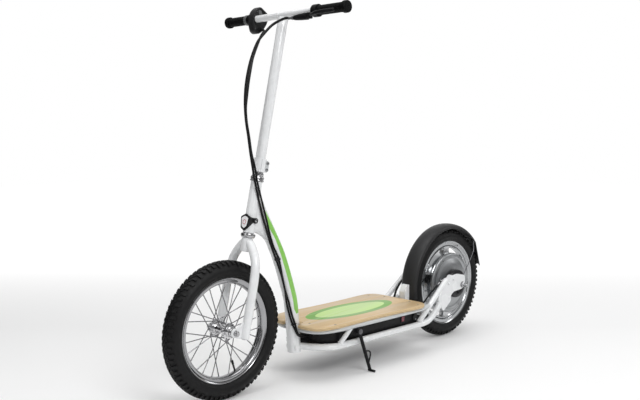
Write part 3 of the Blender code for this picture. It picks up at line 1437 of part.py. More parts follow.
def make_dropout(side):
    """Tab ahead of a fork leg that holds the axle: outline is (ahead, up)."""
    axle = (FORK_OFFSET, -AXLE_TO_HEADSET)
    outline = arc(axle, DROPOUT_RADIUS, -100.0, 60.0, 7)
    outline += [(0.0040, -0.2360), (-0.0040, -0.2400), (-0.0040, FORK_LEG_BOTTOM + 0.0030),
                (0.0140, FORK_LEG_BOTTOM - 0.0020)]
    middle = side * (FORK_LEG_Y - DROPOUT_THICKNESS / 2)
    place = axes_matrix(steer(0.0, middle), STEER_FORWARD, STEER_UP, -SIDE)
    hole = (axle, FRONT_AXLE_RADIUS + GAP)
    return plate(f"dropout_{side + 1}", outline, DROPOUT_THICKNESS, place, None, [hole])


def make_front_axle():
    """Through axle with a cone inside and a nut outside each dropout."""
    nut_low = FORK_LEG_Y + GAP
    reach = nut_low + FRONT_NUT_HEIGHT + FRONT_AXLE_END
    inner = FORK_LEG_Y - DROPOUT_THICKNESS - GAP
    cone = HUB_HALF_LENGTH + GAP
    axle = lathe("front_axle", [
        (0.0, reach), (FRONT_AXLE_RADIUS, reach), (FRONT_AXLE_RADIUS, inner), (CONE_RADIUS, inner),
        (CONE_RADIUS, cone), (FRONT_AXLE_RADIUS, cone), (FRONT_AXLE_RADIUS, -cone),
        (CONE_RADIUS, -cone), (CONE_RADIUS, -inner), (FRONT_AXLE_RADIUS, -inner),
        (FRONT_AXLE_RADIUS, -reach), (0.0, -reach),
    ], FRONT_AXLE, SIDE, STEEL, 14, closed=False)
    for side in (-1, 1):
        join(axle, hexagon(f"front_nut_{side + 1}", FRONT_NUT_RADIUS, nut_low,
                           nut_low + FRONT_NUT_HEIGHT, FRONT_AXLE, SIDE * side, None))
    return axle


def make_front_hub():
    bore = FRONT_AXLE_RADIUS + GAP
    half = HUB_HALF_LENGTH
    return lathe("front_hub", [
        (HUB_BARREL_RADIUS - 0.002, half), (HUB_BARREL_RADIUS, half - 0.003),
        (HUB_BARREL_RADIUS, 0.003 - half), (HUB_BARREL_RADIUS - 0.002, -half), (bore, -half),
        (bore, half),
    ], FRONT_AXLE, SIDE, ALUMINIUM, 14)


def make_spokes(name, side):
    """Spokes of one side, laced across each other and gathered by their hub flange."""
    flange_y = LEFT_FLANGE_Y if side > 0 else RIGHT_FLANGE_Y
    flange = ring(
        name, HUB_BARREL_RADIUS + GAP, HUB_FLANGE_RADIUS, -HUB_FLANGE_THICKNESS / 2,
        HUB_FLANGE_THICKNESS / 2, FRONT_AXLE + SIDE * flange_y, SIDE, STEEL, 20
    )
    hole_radius = HUB_FLANGE_RADIUS - SPOKE_HOLE_INSET
    rim_radius = RIM_INNER_RADIUS * math.cos(math.pi / WHEEL_STEPS) - 2 * GAP
    pitch = 2 * math.pi / SPOKES_PER_SIDE
    rods = []
    for i in range(SPOKES_PER_SIDE):
        lean = 1 if i % 2 == 0 else -1
        hub_angle = pitch * (i + (0.25 if side > 0 else -0.25))
        rim_angle = hub_angle + lean * SPOKE_CROSSINGS * pitch
        out_hub = Vector((math.cos(hub_angle), 0.0, math.sin(hub_angle)))
        out_rim = Vector((math.cos(rim_angle), 0.0, math.sin(rim_angle)))
        y = flange_y + lean * SPOKE_STAGGER
        start = FRONT_AXLE + out_hub * hole_radius + SIDE * y
        end = FRONT_AXLE + out_rim * rim_radius + SIDE * side * RIM_HALF_WIDTH * 0.2
        rods.append(rod(f"{name}_rod_{i}", start, end, SPOKE_RADIUS, None, 4))
    join(flange, merged(name + "_rods", rods, None))
    return flange


def make_stem():
    stem = ring(
        "stem_tube", STEM_RADIUS - STEM_WALL, STEM_RADIUS, STEM_BOTTOM, BAR_HEIGHT, steer(0.0),
        STEER_UP, WHITE_PAINT
    )
    cut(stem, rod(
        "bar_seat", steer(BAR_HEIGHT, -0.05), steer(BAR_HEIGHT, 0.05), BAR_RADIUS + GAP, None, 20
    ))
    return stem


def make_stem_clamp():
    """Split collar round the foot of the stem with two bolted ears behind it."""
    low = STEM_BOTTOM + 0.001
    high = low + CLAMP_HEIGHT
    outer = STEM_RADIUS + GAP + CLAMP_WALL
    clamp = ring("stem_clamp", STEM_RADIUS + GAP, outer, low, high, steer(0.0), STEER_UP,
                 WHITE_PAINT)
    ear_low = outer - 0.0015
    level = (low + high) / 2
    ears = block(
        "clamp_ears", (CLAMP_EAR_REACH, CLAMP_EAR_WIDTH, CLAMP_HEIGHT),
        axes_matrix(steer(level, 0.0, -(ear_low + CLAMP_EAR_REACH / 2)), STEER_FORWARD, SIDE,
                    STEER_UP), None, 0.0015, 1
    )
    join(clamp, ears)
    half = CLAMP_EAR_WIDTH / 2 + 0.004
    for i, up in enumerate((low + 0.009, high - 0.009)):
        place = steer(up, 0.0, -(ear_low + CLAMP_EAR_REACH * 0.62))
        join(clamp, disc(f"clamp_bolt_{i}", CLAMP_BOLT_RADIUS, -half, half, place, SIDE, None, 12))
    slit = block(
        "clamp_slit", (0.0120, 0.0022, CLAMP_HEIGHT + 0.01),
        axes_matrix(steer(level, 0.0, -STEM_RADIUS), STEER_FORWARD, SIDE, STEER_UP), None
    )
    cut(clamp, slit)
    return clamp


# Handlebar and controls


def make_handlebar():
    start = at_bar(0.0, -BAR_HALF_LENGTH, 0.0)
    end = at_bar(0.0, BAR_HALF_LENGTH, 0.0)
    return rod("handlebar", start, end, BAR_RADIUS, WHITE_PAINT, 20, BAR_WALL)


def grip_profile(start):
    """Grip over the bar with a closed, flanged end; heights run outwards along the bar."""
    bore = BAR_RADIUS + GAP
    end = BAR_HALF_LENGTH + GAP + GRIP_CLOSED_END
    lip = end - GRIP_END_WIDTH
    return [
        (0.0, end), (GRIP_END_RADIUS - 0.002, end), (GRIP_END_RADIUS, end - 0.002),
        (GRIP_END_RADIUS, lip + 0.003), (GRIP_RADIUS + 0.0015, lip - 0.004),
        (GRIP_RADIUS, lip - 0.012), (GRIP_RADIUS, start), (bore, start),
        (bore, end - GRIP_CLOSED_END), (0.0, end - GRIP_CLOSED_END),
    ]


def make_left_grip():
    return lathe("left_grip", grip_profile(LEFT_GRIP_START), at_bar(0.0, 0.0, 0.0), SIDE, RUBBER,
                 closed=False)


def make_throttle_grip():
    """Right grip, which twists on the bar together with its collar."""
    start = RIGHT_GRIP_START
    middle = at_bar(0.0, 0.0, 0.0)
    profile = grip_profile(start)
    foot = profile.index((GRIP_RADIUS, start))
    profile[foot:foot + 1] = [
        (GRIP_RADIUS, start + COLLAR_WIDTH), (COLLAR_RADIUS, start + COLLAR_WIDTH),
        (COLLAR_RADIUS, start),
    ]
    grip = lathe("throttle_grip", profile, middle, -SIDE, RUBBER, closed=False)
    ride(pivot("throttle_axis", middle, -SIDE), grip)
    return grip


def make_throttle_housing():
    """Drum on the bar beside the twisting grip, with a recessed inner face."""
    outline = rounded(THROTTLE_OUTLINE, THROTTLE_CORNER, 3)
    thickness = THROTTLE_OUTER_Y - THROTTLE_INNER_Y
    bar = at_bar(0.0, 0.0, 0.0)
    middle = bar - SIDE * (THROTTLE_INNER_Y + THROTTLE_OUTER_Y) / 2
    place = axes_matrix(middle, FORWARD, UP, -SIDE)
    body = plate("throttle_housing", outline, thickness, place, GREY_PLASTIC)
    bore = [bar - SIDE * y for y in (THROTTLE_OUTER_Y + thickness, THROTTLE_INNER_Y - thickness)]
    cut(body, rod("housing_bore", *bore, BAR_RADIUS + GAP, None, 20))
    middle_x = sum(x for x, _ in THROTTLE_OUTLINE) / len(THROTTLE_OUTLINE)
    middle_z = sum(z for _, z in THROTTLE_OUTLINE) / len(THROTTLE_OUTLINE)
    scale = THROTTLE_FACE_SCALE
    recess = rounded([
        (middle_x + (x - middle_x) * scale, middle_z + (z - middle_z) * scale)
        for x, z in THROTTLE_OUTLINE
    ], THROTTLE_CORNER, 3)
    face = axes_matrix(bar - SIDE * THROTTLE_INNER_Y, FORWARD, UP, -SIDE)
    cut(body, plate("face_recess", recess, 2 * THROTTLE_FACE_DEPTH, face, None))
    return body


def make_lever_perch():
    """Clamp on the bar, arm to the lever's pin, and the cable's adjusting barrel."""
    bar = at_bar(0.0, 0.0, 0.0)
    perch = ring("brake_lever_perch", BAR_RADIUS + GAP, PERCH_RADIUS, PERCH_INNER_Y,
                 PERCH_OUTER_Y, bar, SIDE, BLACK_PAINT)
    inner = at_bar(LEVER_AHEAD, PERCH_ARM_END_Y, -LEVER_DROP)
    shoulder = LEVER_PIVOT_Y - LEVER_BOSS_RADIUS - 0.0012
    outer = at_bar(LEVER_AHEAD - 0.003, shoulder, -LEVER_DROP)
    half_height = UP * PERCH_ARM_HEIGHT / 2
    half_depth = FORWARD * PERCH_ARM_THICKNESS / 2
    arm = loft("perch_arm", [
        ellipse_ring(inner, half_height * 0.62, half_depth * 0.8, 12),
        ellipse_ring((inner + outer) / 2, half_height * 0.9, half_depth, 12),
        ellipse_ring(outer, half_height, half_depth, 12),
    ], None)
    near = BAR_RADIUS + 0.003
    neck = box_at(
        "perch_neck", at_bar(near, PERCH_INNER_Y - 0.005, -LEVER_DROP - 0.002),
        at_bar(LEVER_AHEAD - 0.002, shoulder - 0.001, -LEVER_DROP + 0.010), None
    )
    barrel = rod(
        "cable_barrel", inner + SIDE * 0.004, at_bar(LEVER_AHEAD, BARREL_END_Y, -LEVER_DROP),
        BARREL_RADIUS, None, 12
    )
    join(perch, neck, arm, barrel)
    gap = LEVER_BOSS_HEIGHT / 2 + GAP
    for sign, word in ((-1, "low"), (1, "high")):
        outline = arc((LEVER_AHEAD, LEVER_PIVOT_Y), LEVER_BOSS_RADIUS, 0.0, 180.0, 9)
        outline += [(LEVER_AHEAD - LEVER_BOSS_RADIUS, shoulder - 0.006),
                    (LEVER_AHEAD + LEVER_BOSS_RADIUS * 0.5, shoulder - 0.006)]
        level = -LEVER_DROP + sign * (gap + LUG_THICKNESS / 2)
        join(perch, plate(f"perch_lug_{word}", outline, LUG_THICKNESS,
                          Matrix.Translation(at_bar(0.0, 0.0, level)), None))
    reach = gap + LUG_THICKNESS + 0.001
    join(perch, disc("lever_pin", LEVER_PIN_RADIUS, -reach, reach,
                     at_bar(LEVER_AHEAD, LEVER_PIVOT_Y, -LEVER_DROP), UP, None, 12))
    return perch


def make_brake_lever():
    """Blade in front of the left grip, bored for the perch's pin."""
    root = at_bar(LEVER_AHEAD, LEVER_PIVOT_Y, -LEVER_DROP)
    boss = disc("brake_lever", LEVER_BOSS_RADIUS, -LEVER_BOSS_HEIGHT / 2, LEVER_BOSS_HEIGHT / 2,
                root, UP, BLACK_PAINT, 16)
    route = smooth_path([root + Vector(point) for point in LEVER_BLADE_PATH], 2)
    radii = [0.56, 0.60, 0.85] + [1.0] * (len(route) - 4) + [0.8]
    blade = tube("lever_blade", route, LEVER_BLADE_RADIUS, None, 8, radii=radii)
    join(boss, blade)
    cut(boss, disc("lever_bore", LEVER_PIN_RADIUS + GAP, -0.02, 0.02, root, UP, None, 12))
    ride(pivot("brake_lever_axis", root, UP), boss)
    return boss


# Stand, reflector and cables


def make_stand():
    """Side stand, down: a leg on a boss, a foot peg and a toe loop."""
    top = at(STAND_X, STAND_Y, STAND_HEIGHT)
    foot = at(STAND_FOOT_X, STAND_FOOT_Y, STAND_FOOT_RADIUS)
    boss = disc(
        "side_stand", STAND_BOSS_RADIUS, STAND_Y - STAND_BOSS_WIDTH / 2,
        STAND_Y + STAND_BOSS_WIDTH / 2, at(STAND_X, 0.0, STAND_HEIGHT), SIDE, BLACK_PAINT, 16
    )
    leg = rod("stand_leg", top, foot, STAND_RADIUS, None, 10)
    peg = rod("stand_peg", foot - SIDE * STAND_FOOT_LENGTH * 0.25,
              foot + SIDE * STAND_FOOT_LENGTH * 0.75, STAND_FOOT_RADIUS, None, 12)
    along = (foot - top).normalized()
    rearward = Vector((along.z, 0.0, -along.x))
    length = (foot - top).length
    outward = SIDE * (STAND_RADIUS * 0.5)
    loop = smooth_path([
        top + along * length * 0.50 + outward,
        top + along * length * 0.56 + outward + rearward * STAND_TAB_REACH * 0.75,
        top + along * length * 0.62 + outward + rearward * STAND_TAB_REACH,
        top + along * length * 0.70 + outward + rearward * STAND_TAB_REACH * 0.75,
        top + along * length * 0.80 + outward,
    ], 2)
    tab = tube("stand_tab", loop, STAND_TAB_RADIUS, None, 8)
    join(boss, leg, peg, tab)
    cut(boss, disc("stand_bore", STAND_PIN_RADIUS + GAP, -STAND_BOSS_WIDTH, STAND_BOSS_WIDTH, top,
                   SIDE, None, 12))
    ride(pivot("side_stand_axis", top, SIDE), boss)


def reflector_place(ahead):
    return axes_matrix(steer(REFLECTOR_HEIGHT_UP, 0.0, ahead), SIDE, STEER_UP, STEER_FORWARD)


def make_reflector():
    """Housing clamped round the front of the head tube, and its lens."""
    seat = HEAD_TUBE_RADIUS + GAP
    plate_back = seat + 0.0006
    face = plate_back + REFLECTOR_THICKNESS
    housing = plate("front_reflector_housing", REFLECTOR_OUTLINE, REFLECTOR_THICKNESS,
                    reflector_place((plate_back + face) / 2), BLACK_PLASTIC)
    up = REFLECTOR_HEIGHT_UP + REFLECTOR_BOSS_RISE
    wide = REFLECTOR_SADDLE_HALF_WIDTH
    rows = []
    for ahead, half_width, low, high in (
        (plate_back + 0.001, 0.0195, -0.0240, 0.0240), (0.0110, wide, -0.0150, 0.0200),
        (0.0030, wide, -0.0030, 0.0165), (-0.0060, wide * 0.94, 0.0000, 0.0150),
    ):
        middle = steer(REFLECTOR_HEIGHT_UP + (low + high) / 2, 0.0, ahead)
        rows.append(ellipse_ring(middle, SIDE * half_width, STEER_UP * (high - low) / 2, 14))
    join(housing, loft("reflector_saddle", rows, None))
    for side in (-1, 1):
        outer = seat + REFLECTOR_BAND
        boss = disc(
            f"reflector_boss_{side + 1}", REFLECTOR_BOSS_RADIUS, outer - 0.0030,
            outer + REFLECTOR_BOSS_WIDTH, steer(up, 0.0, -0.001), SIDE * side, None, 16
        )
        join(housing, boss)
    cut(housing, disc("reflector_seat", seat, -0.02, 0.12, steer(0.0), STEER_UP, None),
        down_tube_seat("reflector_tube_seat"))
    centre_scale = 1.0 - LENS_MARGIN / REFLECTOR_OUTLINE[1][0]
    lens_outline = [(x * centre_scale, y * centre_scale) for x, y in REFLECTOR_OUTLINE]
    plate("front_reflector_lens", lens_outline, LENS_THICKNESS,
          reflector_place(face + GAP + LENS_THICKNESS / 2), WHITE_LENS)


def cable_path(start, route, end=None):
    """Smooth path through route; start and end are (place, direction into the route)."""
    first, inward = start
    points = [first + inward * CABLE_LEAD, *[at(*point) for point in route]]
    if end is None:
        return thinned([first, *smooth_path(points, 2)], CABLE_TURN)
    last, inward = end
    points.append(last + inward * CABLE_LEAD)
    return thinned([first, *smooth_path(points, 2), last], CABLE_TURN)


def brake_cable_path():
    barrel = at_bar(LEVER_AHEAD, BARREL_END_Y - GAP, -LEVER_DROP)
    return cable_path((barrel, -SIDE), BRAKE_CABLE_ROUTE)


def throttle_wire_path():
    face = at_bar(-0.0150, GAP - THROTTLE_INNER_Y - THROTTLE_FACE_DEPTH, -0.0300)
    socket = at(CONTROLLER_FRONT_X - WIRE_SOCKET_BACK, CONTROLLER_WIDTH / 2 + GAP, CONTROLLER_SOCKET_HEIGHT)
    return cable_path((face, SIDE), THROTTLE_WIRE_ROUTE, (socket, SIDE))


def motor_cable_path():
    axle = REAR_AXLE + Vector((0.0, MOTOR_CABLE_ROUTE[0][1], SPACER_RADIUS + GAP))
    side = -CONTROLLER_WIDTH / 2 - GAP
    socket = at(CONTROLLER_FRONT_X - MOTOR_SOCKET_BACK, side, CONTROLLER_SOCKET_HEIGHT)
    return cable_path((axle, UP), MOTOR_CABLE_ROUTE, (socket, -SIDE))


def make_cables():
    """Cables that the scooter holds all the way; the first two flex as it steers."""
    tube("brake_cable", brake_cable_path(), BRAKE_CABLE_RADIUS, RUBBER, 8)
    tube("throttle_wire", throttle_wire_path(), THROTTLE_WIRE_RADIUS, RUBBER, 8)
    tube("motor_cable", motor_cable_path(), MOTOR_CABLE_RADIUS, RUBBER, 8)


def make_cable_clip():
    """Clip on the down tube that holds both cables: a plate bored for each of them."""
    brake = at(*BRAKE_CABLE_ROUTE[19])
    wire = at(*THROTTLE_WIRE_ROUTE[19])
    along = (at(*BRAKE_CABLE_ROUTE[18]) - at(*BRAKE_CABLE_ROUTE[20])).normalized()
    middle = (brake + wire) / 2
    across = (brake - wire).normalized()
    outward = across.cross(along).normalized()
    clip = block(
        "cable_clip", (0.0230, 0.0120, 0.0090),
        axes_matrix(middle, across, outward, across.cross(outward)), BLACK_PLASTIC, 0.002, 1
    )
    for word, place, radius in (
        ("brake", brake, BRAKE_CABLE_RADIUS), ("wire", wire, THROTTLE_WIRE_RADIUS)
    ):
        cut(clip, disc(f"clip_bore_{word}", radius + 3 * GAP, -0.03, 0.03, place, along, None, 12))
    cut(clip, down_tube_seat("clip_seat"))


def build():
    clear_scene()
    make_head_tube()
    locknut = make_headset()
    make_down_tube()
    seats = [make_side_tubes("left", 1), make_side_tubes("right", -1)]
    make_crossmember(seats)
    make_dropout_plate("left", 1)
    make_dropout_plate("right", -1)
    make_stand_bracket()
    make_deck()
    make_tray()
    make_battery()
    make_controller()
    make_switch()
    make_charge_port()
    make_fender()
    make_fender_bracket()
    make_fender_stay()
    make_reflector()
    make_rear_axle()
    make_stator()
    make_brake_arm()
    make_cables()
    make_cable_clip()
    make_stand()
    rear_pieces = [make_tyre("rear_tyre", REAR_AXLE), make_rear_wheel(), make_motor_cover(),
                   make_brake()]
    ride(pivot("rear_wheel_axis", REAR_AXLE, SIDE), *rear_pieces)
    front_pieces = [make_tyre("front_tyre", FRONT_AXLE),
                    rim_ring("front_rim", FRONT_AXLE, ALUMINIUM), make_front_hub(),
                    make_spokes("front_spokes_left", 1), make_spokes("front_spokes_right", -1)]
    ride(pivot("front_wheel_axis", FRONT_AXLE, SIDE), *front_pieces)
    steered = [locknut, make_fork(), make_front_axle(), make_stem(), make_stem_clamp(),
               make_handlebar(), make_left_grip(), make_throttle_housing(), make_lever_perch()]
    make_throttle_grip()
    make_brake_lever()
    ride(pivot("steering_axis", steer(0.0), STEER_UP), *steered)


build()
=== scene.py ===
"""Looks of the stand-up electric scooter: fine pieces, materials and a studio round its frame."""

import math

import bmesh
import bpy
from mathutils import Matrix, Vector
from mathutils.geometry import tessellate_polygon


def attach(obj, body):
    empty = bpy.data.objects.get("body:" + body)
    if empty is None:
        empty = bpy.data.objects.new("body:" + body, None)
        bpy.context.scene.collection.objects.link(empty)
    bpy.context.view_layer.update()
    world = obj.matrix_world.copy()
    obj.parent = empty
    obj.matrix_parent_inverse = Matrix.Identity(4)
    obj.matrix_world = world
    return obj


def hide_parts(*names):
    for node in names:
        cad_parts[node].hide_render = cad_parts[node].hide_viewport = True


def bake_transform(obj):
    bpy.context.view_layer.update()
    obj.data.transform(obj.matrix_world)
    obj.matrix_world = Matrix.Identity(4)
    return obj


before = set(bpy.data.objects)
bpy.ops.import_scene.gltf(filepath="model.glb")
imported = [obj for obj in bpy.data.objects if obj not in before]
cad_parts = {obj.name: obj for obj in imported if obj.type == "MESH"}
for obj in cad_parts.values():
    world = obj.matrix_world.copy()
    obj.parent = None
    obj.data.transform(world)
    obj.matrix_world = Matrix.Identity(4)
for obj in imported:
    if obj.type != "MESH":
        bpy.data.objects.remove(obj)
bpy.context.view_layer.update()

GAP = 0.0003
REAR_X = -0.5417
WHEELBASE = 1.0934
TYRE_RADIUS = 0.2100
HEAD_TILT = math.radians(12.6)
FORK_OFFSET = 0.0370
AXLE_TO_HEADSET = 0.2926
BAR_HEIGHT = 0.6887
STEER_UP = Vector((-math.sin(HEAD_TILT), 0.0, math.cos(HEAD_TILT)))
STEER_FORWARD = Vector((math.cos(HEAD_TILT), 0.0, math.sin(HEAD_TILT)))
SIDE = Vector((0.0, 1.0, 0.0))
UP = Vector((0.0, 0.0, 1.0))
FORWARD = Vector((1.0, 0.0, 0.0))


def at(x, y=0.0, z=0.0):
    return Vector((REAR_X + x, y, z))


def steer(up, y=0.0, ahead=0.0):
    foot = at(WHEELBASE, y, TYRE_RADIUS)
    return foot + STEER_UP * (up + AXLE_TO_HEADSET) + STEER_FORWARD * (ahead - FORK_OFFSET)


def at_bar(ahead, y, above):
    return steer(BAR_HEIGHT) + Vector((ahead, y, above))


SIDES = ((1, "left"), (-1, "right"))
BAR_MIDDLE = at_bar(0.0, 0.0, 0.0)
BAR_BORE = 0.0114  # Inner radius of the grips, the throttle housing and the perch
REAR_AXLE = at(0.0, 0.0, TYRE_RADIUS)
FRONT_AXLE = at(WHEELBASE, 0.0, TYRE_RADIUS)


# Shapes


def facing(origin, direction):
    turn = direction.normalized().to_track_quat("Z", "Y").to_matrix().to_4x4()
    return Matrix.Translation(origin) @ turn


def axes(origin, x_axis, y_axis, z_axis):
    turn = Matrix((x_axis, y_axis, z_axis)).transposed().to_4x4()
    return Matrix.Translation(origin) @ turn


def side_place(y):
    return axes(at(0.0, y), FORWARD, UP, -SIDE)


def ray(angle):
    """Direction away from a wheel's axle, counted from forward towards up."""
    return Vector((math.cos(angle), 0.0, math.sin(angle)))


def curve_point(a, b, c, d, t):
    """Point of a Catmull-Rom curve at a share of the way from b to c."""
    return (b * 2 + (c - a) * t + (a * 2 - b * 5 + c * 4 - d) * t ** 2
            + (b * 3 - a - c * 3 + d) * t ** 3) / 2


def smooth(points, steps):
    """Points of a Catmull-Rom curve through the given ones."""
    points = [Vector(point) for point in points]
    ends = [points[0] * 2 - points[1], *points, points[-1] * 2 - points[-2]]
    path = []
    for i in range(len(points) - 1):
        path += [curve_point(*ends[i:i + 4], k / steps) for k in range(steps)]
    path.append(points[-1].copy())
    return path


def arc(centre, radius, start, end, count):
    points = []
    for i in range(count):
        angle = math.radians(start + (end - start) * i / (count - 1))
        points.append((centre[0] + radius * math.cos(angle), centre[1] + radius * math.sin(angle)))
    return points


def rounded(points, radius, count=6):
    outline = []
    for i, corner in enumerate(points):
        here = Vector(corner)
        before = Vector(points[i - 1]) - here
        after = Vector(points[(i + 1) % len(points)]) - here
        start = here + before.normalized() * min(radius, before.length * 0.45)
        end = here + after.normalized() * min(radius, after.length * 0.45)
        for k in range(count):
            t = k / (count - 1)
            outline.append(tuple(start * (1 - t) ** 2 + here * 2 * t * (1 - t) + end * t ** 2))
    return outline


def corners(wide, tall):
    """Rectangle by its half sizes."""
    return [(-wide, -tall), (wide, -tall), (wide, tall), (-wide, tall)]


def both_ways(half):
    """Outline of (radius, height) points, followed by its mirror image."""
    return half + [(r, -height) for r, height in reversed(half)]


def ellipse(centre, major, minor, count):
    turn = [2 * math.pi * i / count for i in range(count)]
    return [centre + major * math.cos(angle) + minor * math.sin(angle) for angle in turn]


def inset(loop, amount):
    """Loop moved towards its left side."""
    moved = []
    count = len(loop)
    for i in range(count):
        before = Vector(loop[i]) - Vector(loop[i - 1])
        after = Vector(loop[(i + 1) % count]) - Vector(loop[i])
        before, after = before.normalized(), after.normalized()
        normal = Vector((-before.y - after.y, before.x + after.x))
        size = max(normal.length, 0.6)
        scale = amount * 2 / (size * size)
        moved.append((loop[i][0] + normal.x * scale, loop[i][1] + normal.y * scale))
    return moved


def area(loop):
    return sum(loop[i - 1][0] * loop[i][1] - loop[i][0] * loop[i - 1][1]
               for i in range(len(loop))) / 2


class Shape:
    """Surfaces of one piece; each keeps the number of the material set when it is added."""

    def __init__(self):
        self.verts = []
        self.faces = []
        self.slots = []
        self.slot = 0

    def use(self, slot):
        self.slot = slot
        return self

    def add(self, verts, faces, place=None):
        start = len(self.verts)
        for vert in verts:
            vert = Vector(vert)
            self.verts.append(tuple(place @ vert if place is not None else vert))
        for face in faces:
            self.faces.append(tuple(start + i for i in face))
            self.slots.append(self.slot)
        return self

    def loft(self, rings, caps=True, loop=True):
        count = len(rings[0])
        verts = [point for row in rings for point in row]
        faces = []
        for j in range(len(rings) - 1):
            for k in range(count if loop else count - 1):
                n = (k + 1) % count
                faces.append((j * count + k, j * count + n, (j + 1) * count + n,
                              (j + 1) * count + k))
        if caps:
            faces.append(tuple(reversed(range(count))))
            faces.append(tuple(range((len(rings) - 1) * count, len(rings) * count)))
        return self.add(verts, faces)

    def lathe(self, profile, origin, direction, steps=48, closed=True):
        """Turned form; profile is (radius, height), closed into a ring or ended on the axis."""
        place = facing(origin, direction)
        verts = []
        rows = []
        for radius, height in profile:
            if radius < 1e-6:
                rows.append([len(verts)] * steps)
                verts.append((0.0, 0.0, height))
                continue
            rows.append(list(range(len(verts), len(verts) + steps)))
            for k in range(steps):
                angle = 2 * math.pi * k / steps
                verts.append((radius * math.cos(angle), radius * math.sin(angle), height))
        pairs = list(zip(rows, rows[1:]))
        if closed:
            pairs.append((rows[-1], rows[0]))
        faces = []
        for upper, lower in pairs:
            for k in range(steps):
                n = (k + 1) % steps
                face = []
                for vert in (upper[k], lower[k], lower[n], upper[n]):
                    if vert not in face:
                        face.append(vert)
                if len(face) > 2:
                    faces.append(tuple(face))
        return self.add(verts, faces, place)

    def disc(self, radius, low, high, origin, direction, steps=32, edge=0.0006):
        edge = min(edge, radius * 0.4, (high - low) * 0.4)
        return self.lathe([
            (0.0, high), (radius - edge, high), (radius - edge * 0.3, high - edge * 0.3),
            (radius, high - edge), (radius, low + edge), (radius - edge * 0.3, low + edge * 0.3),
            (radius - edge, low), (0.0, low),
        ], origin, direction, steps, closed=False)

    def ring(self, inner, outer, low, high, origin, direction, steps=48, edge=0.0005):
        return self.lathe([
            (outer - edge, high), (outer, high - edge), (outer, low + edge), (outer - edge, low),
            (inner + edge, low), (inner, low + edge), (inner, high - edge), (inner + edge, high),
        ], origin, direction, steps)

    def tube(self, points, radius, sides=24, caps=True, flat=1.0, loop=False, face=None):
        """Round or flattened bar along points, with a radius for all or for each."""
        points = [Vector(point) for point in points]
        radii = radius if isinstance(radius, (list, tuple)) else [radius] * len(points)
        rings = []
        normal = None
        for i, point in enumerate(points):
            before = points[i - 1] if i > 0 or loop else points[0]
            after = points[(i + 1) % len(points)] if i < len(points) - 1 or loop else points[-1]
            along = (after - before).normalized()
            if normal is None:
                guide = face if face is not None else (UP if abs(along.z) < 0.9 else FORWARD)
                normal = guide - along * guide.dot(along)
            normal = (normal - along * normal.dot(along)).normalized()
            other = along.cross(normal)
            rings.append(ellipse(point, normal * radii[i], other * radii[i] * flat, sides))
        if loop:
            rings.append(rings[0])
            return self.loft(rings, caps=False)
        return self.loft(rings, caps=caps)

    def bar(self, start, end, radius, sides=24, edge=0.0006):
        return self.disc(radius, 0.0, (end - start).length, start, end - start, sides, edge)

    def plate(self, outline, thickness, place, holes=(), edge=0.0008):
        """Flat piece about its middle plane, with eased edges and with holes."""
        loops = [list(outline) if area(outline) > 0 else list(reversed(outline))]
        for hole in holes:
            loops.append(list(hole) if area(hole) < 0 else list(reversed(hole)))
        half = thickness / 2
        levels = [(-half, edge), (edge - half, 0.0), (half - edge, 0.0), (half, edge)]
        verts = []
        faces = []
        caps = []
        for loop in loops:
            count = len(loop)
            start = len(verts)
            for height, amount in levels:
                moved = inset(loop, amount) if amount > 0 else loop
                verts += [(x, y, height) for x, y in moved]
            for level in range(3):
                low = start + level * count
                for k in range(count):
                    n = (k + 1) % count
                    faces.append((low + k, low + n, low + count + n, low + count + k))
            caps.append((start, count))
        flat = [[Vector(verts[start + i]) for i in range(count)] for start, count in caps]
        index = [start + i for start, count in caps for i in range(count)]
        counts = [count for start, count in caps for i in range(count)]
        for a, b, c in tessellate_polygon(flat):
            low = (index[a], index[b], index[c])
            first, second, third = (Vector(verts[i]) for i in low)
            if (second - first).cross(third - first).z > 0:
                low = tuple(reversed(low))
                a, b, c = c, b, a
            faces.append(low)
            faces.append((index[c] + 3 * counts[c], index[b] + 3 * counts[b],
                          index[a] + 3 * counts[a]))
        return self.add(verts, faces, place)

    def block(self, size, place, edge=0.001, segments=2):
        form = bmesh.new()
        bmesh.ops.create_cube(form, size=1.0)
        bmesh.ops.scale(form, vec=size, verts=form.verts)
        if edge > 0.0:
            bmesh.ops.bevel(form, geom=list(form.edges), offset=edge, segments=segments,
                            affect="EDGES", profile=0.5)
        form.verts.ensure_lookup_table()
        verts = [vert.co.copy() for vert in form.verts]
        faces = [tuple(vert.index for vert in face.verts) for face in form.faces]
        form.free()
        return self.add(verts, faces, place)

    def nut(self, radius, low, high, origin, direction, turn=0.0):
        """Six-sided nut or bolt head with turned-off corners."""
        place = facing(origin, direction)
        flat = radius * math.cos(math.pi / 6)
        rows = []
        for height, reach in ((low, flat * 0.99), (low + radius * 0.09, radius),
                              (high - radius * 0.09, radius), (high, flat * 0.99)):
            row = []
            for k in range(24):
                angle = 2 * math.pi * k / 24
                bend = (angle + math.pi / 6) % (math.pi / 3) - math.pi / 6
                size = min(flat / math.cos(bend), reach)
                row.append(place @ Vector((size * math.cos(angle + turn),
                                           size * math.sin(angle + turn), height)))
            rows.append(row)
        return self.loft(rows)

    def fine(self, node, body, materials, slot, angle=38.0, blend=None):
        """Finer piece that stands for one solid of the frame."""
        self.build(node + "_fine", body, materials, [node], angle, blend)

    def fine_side(self, node, word, material, angle=50):
        """Finer piece that stands for the left or the right solid of a pair of the frame."""
        self.build(f"{node}_fine_{word}", "frame", material, [f"{node}_{word}"], angle)

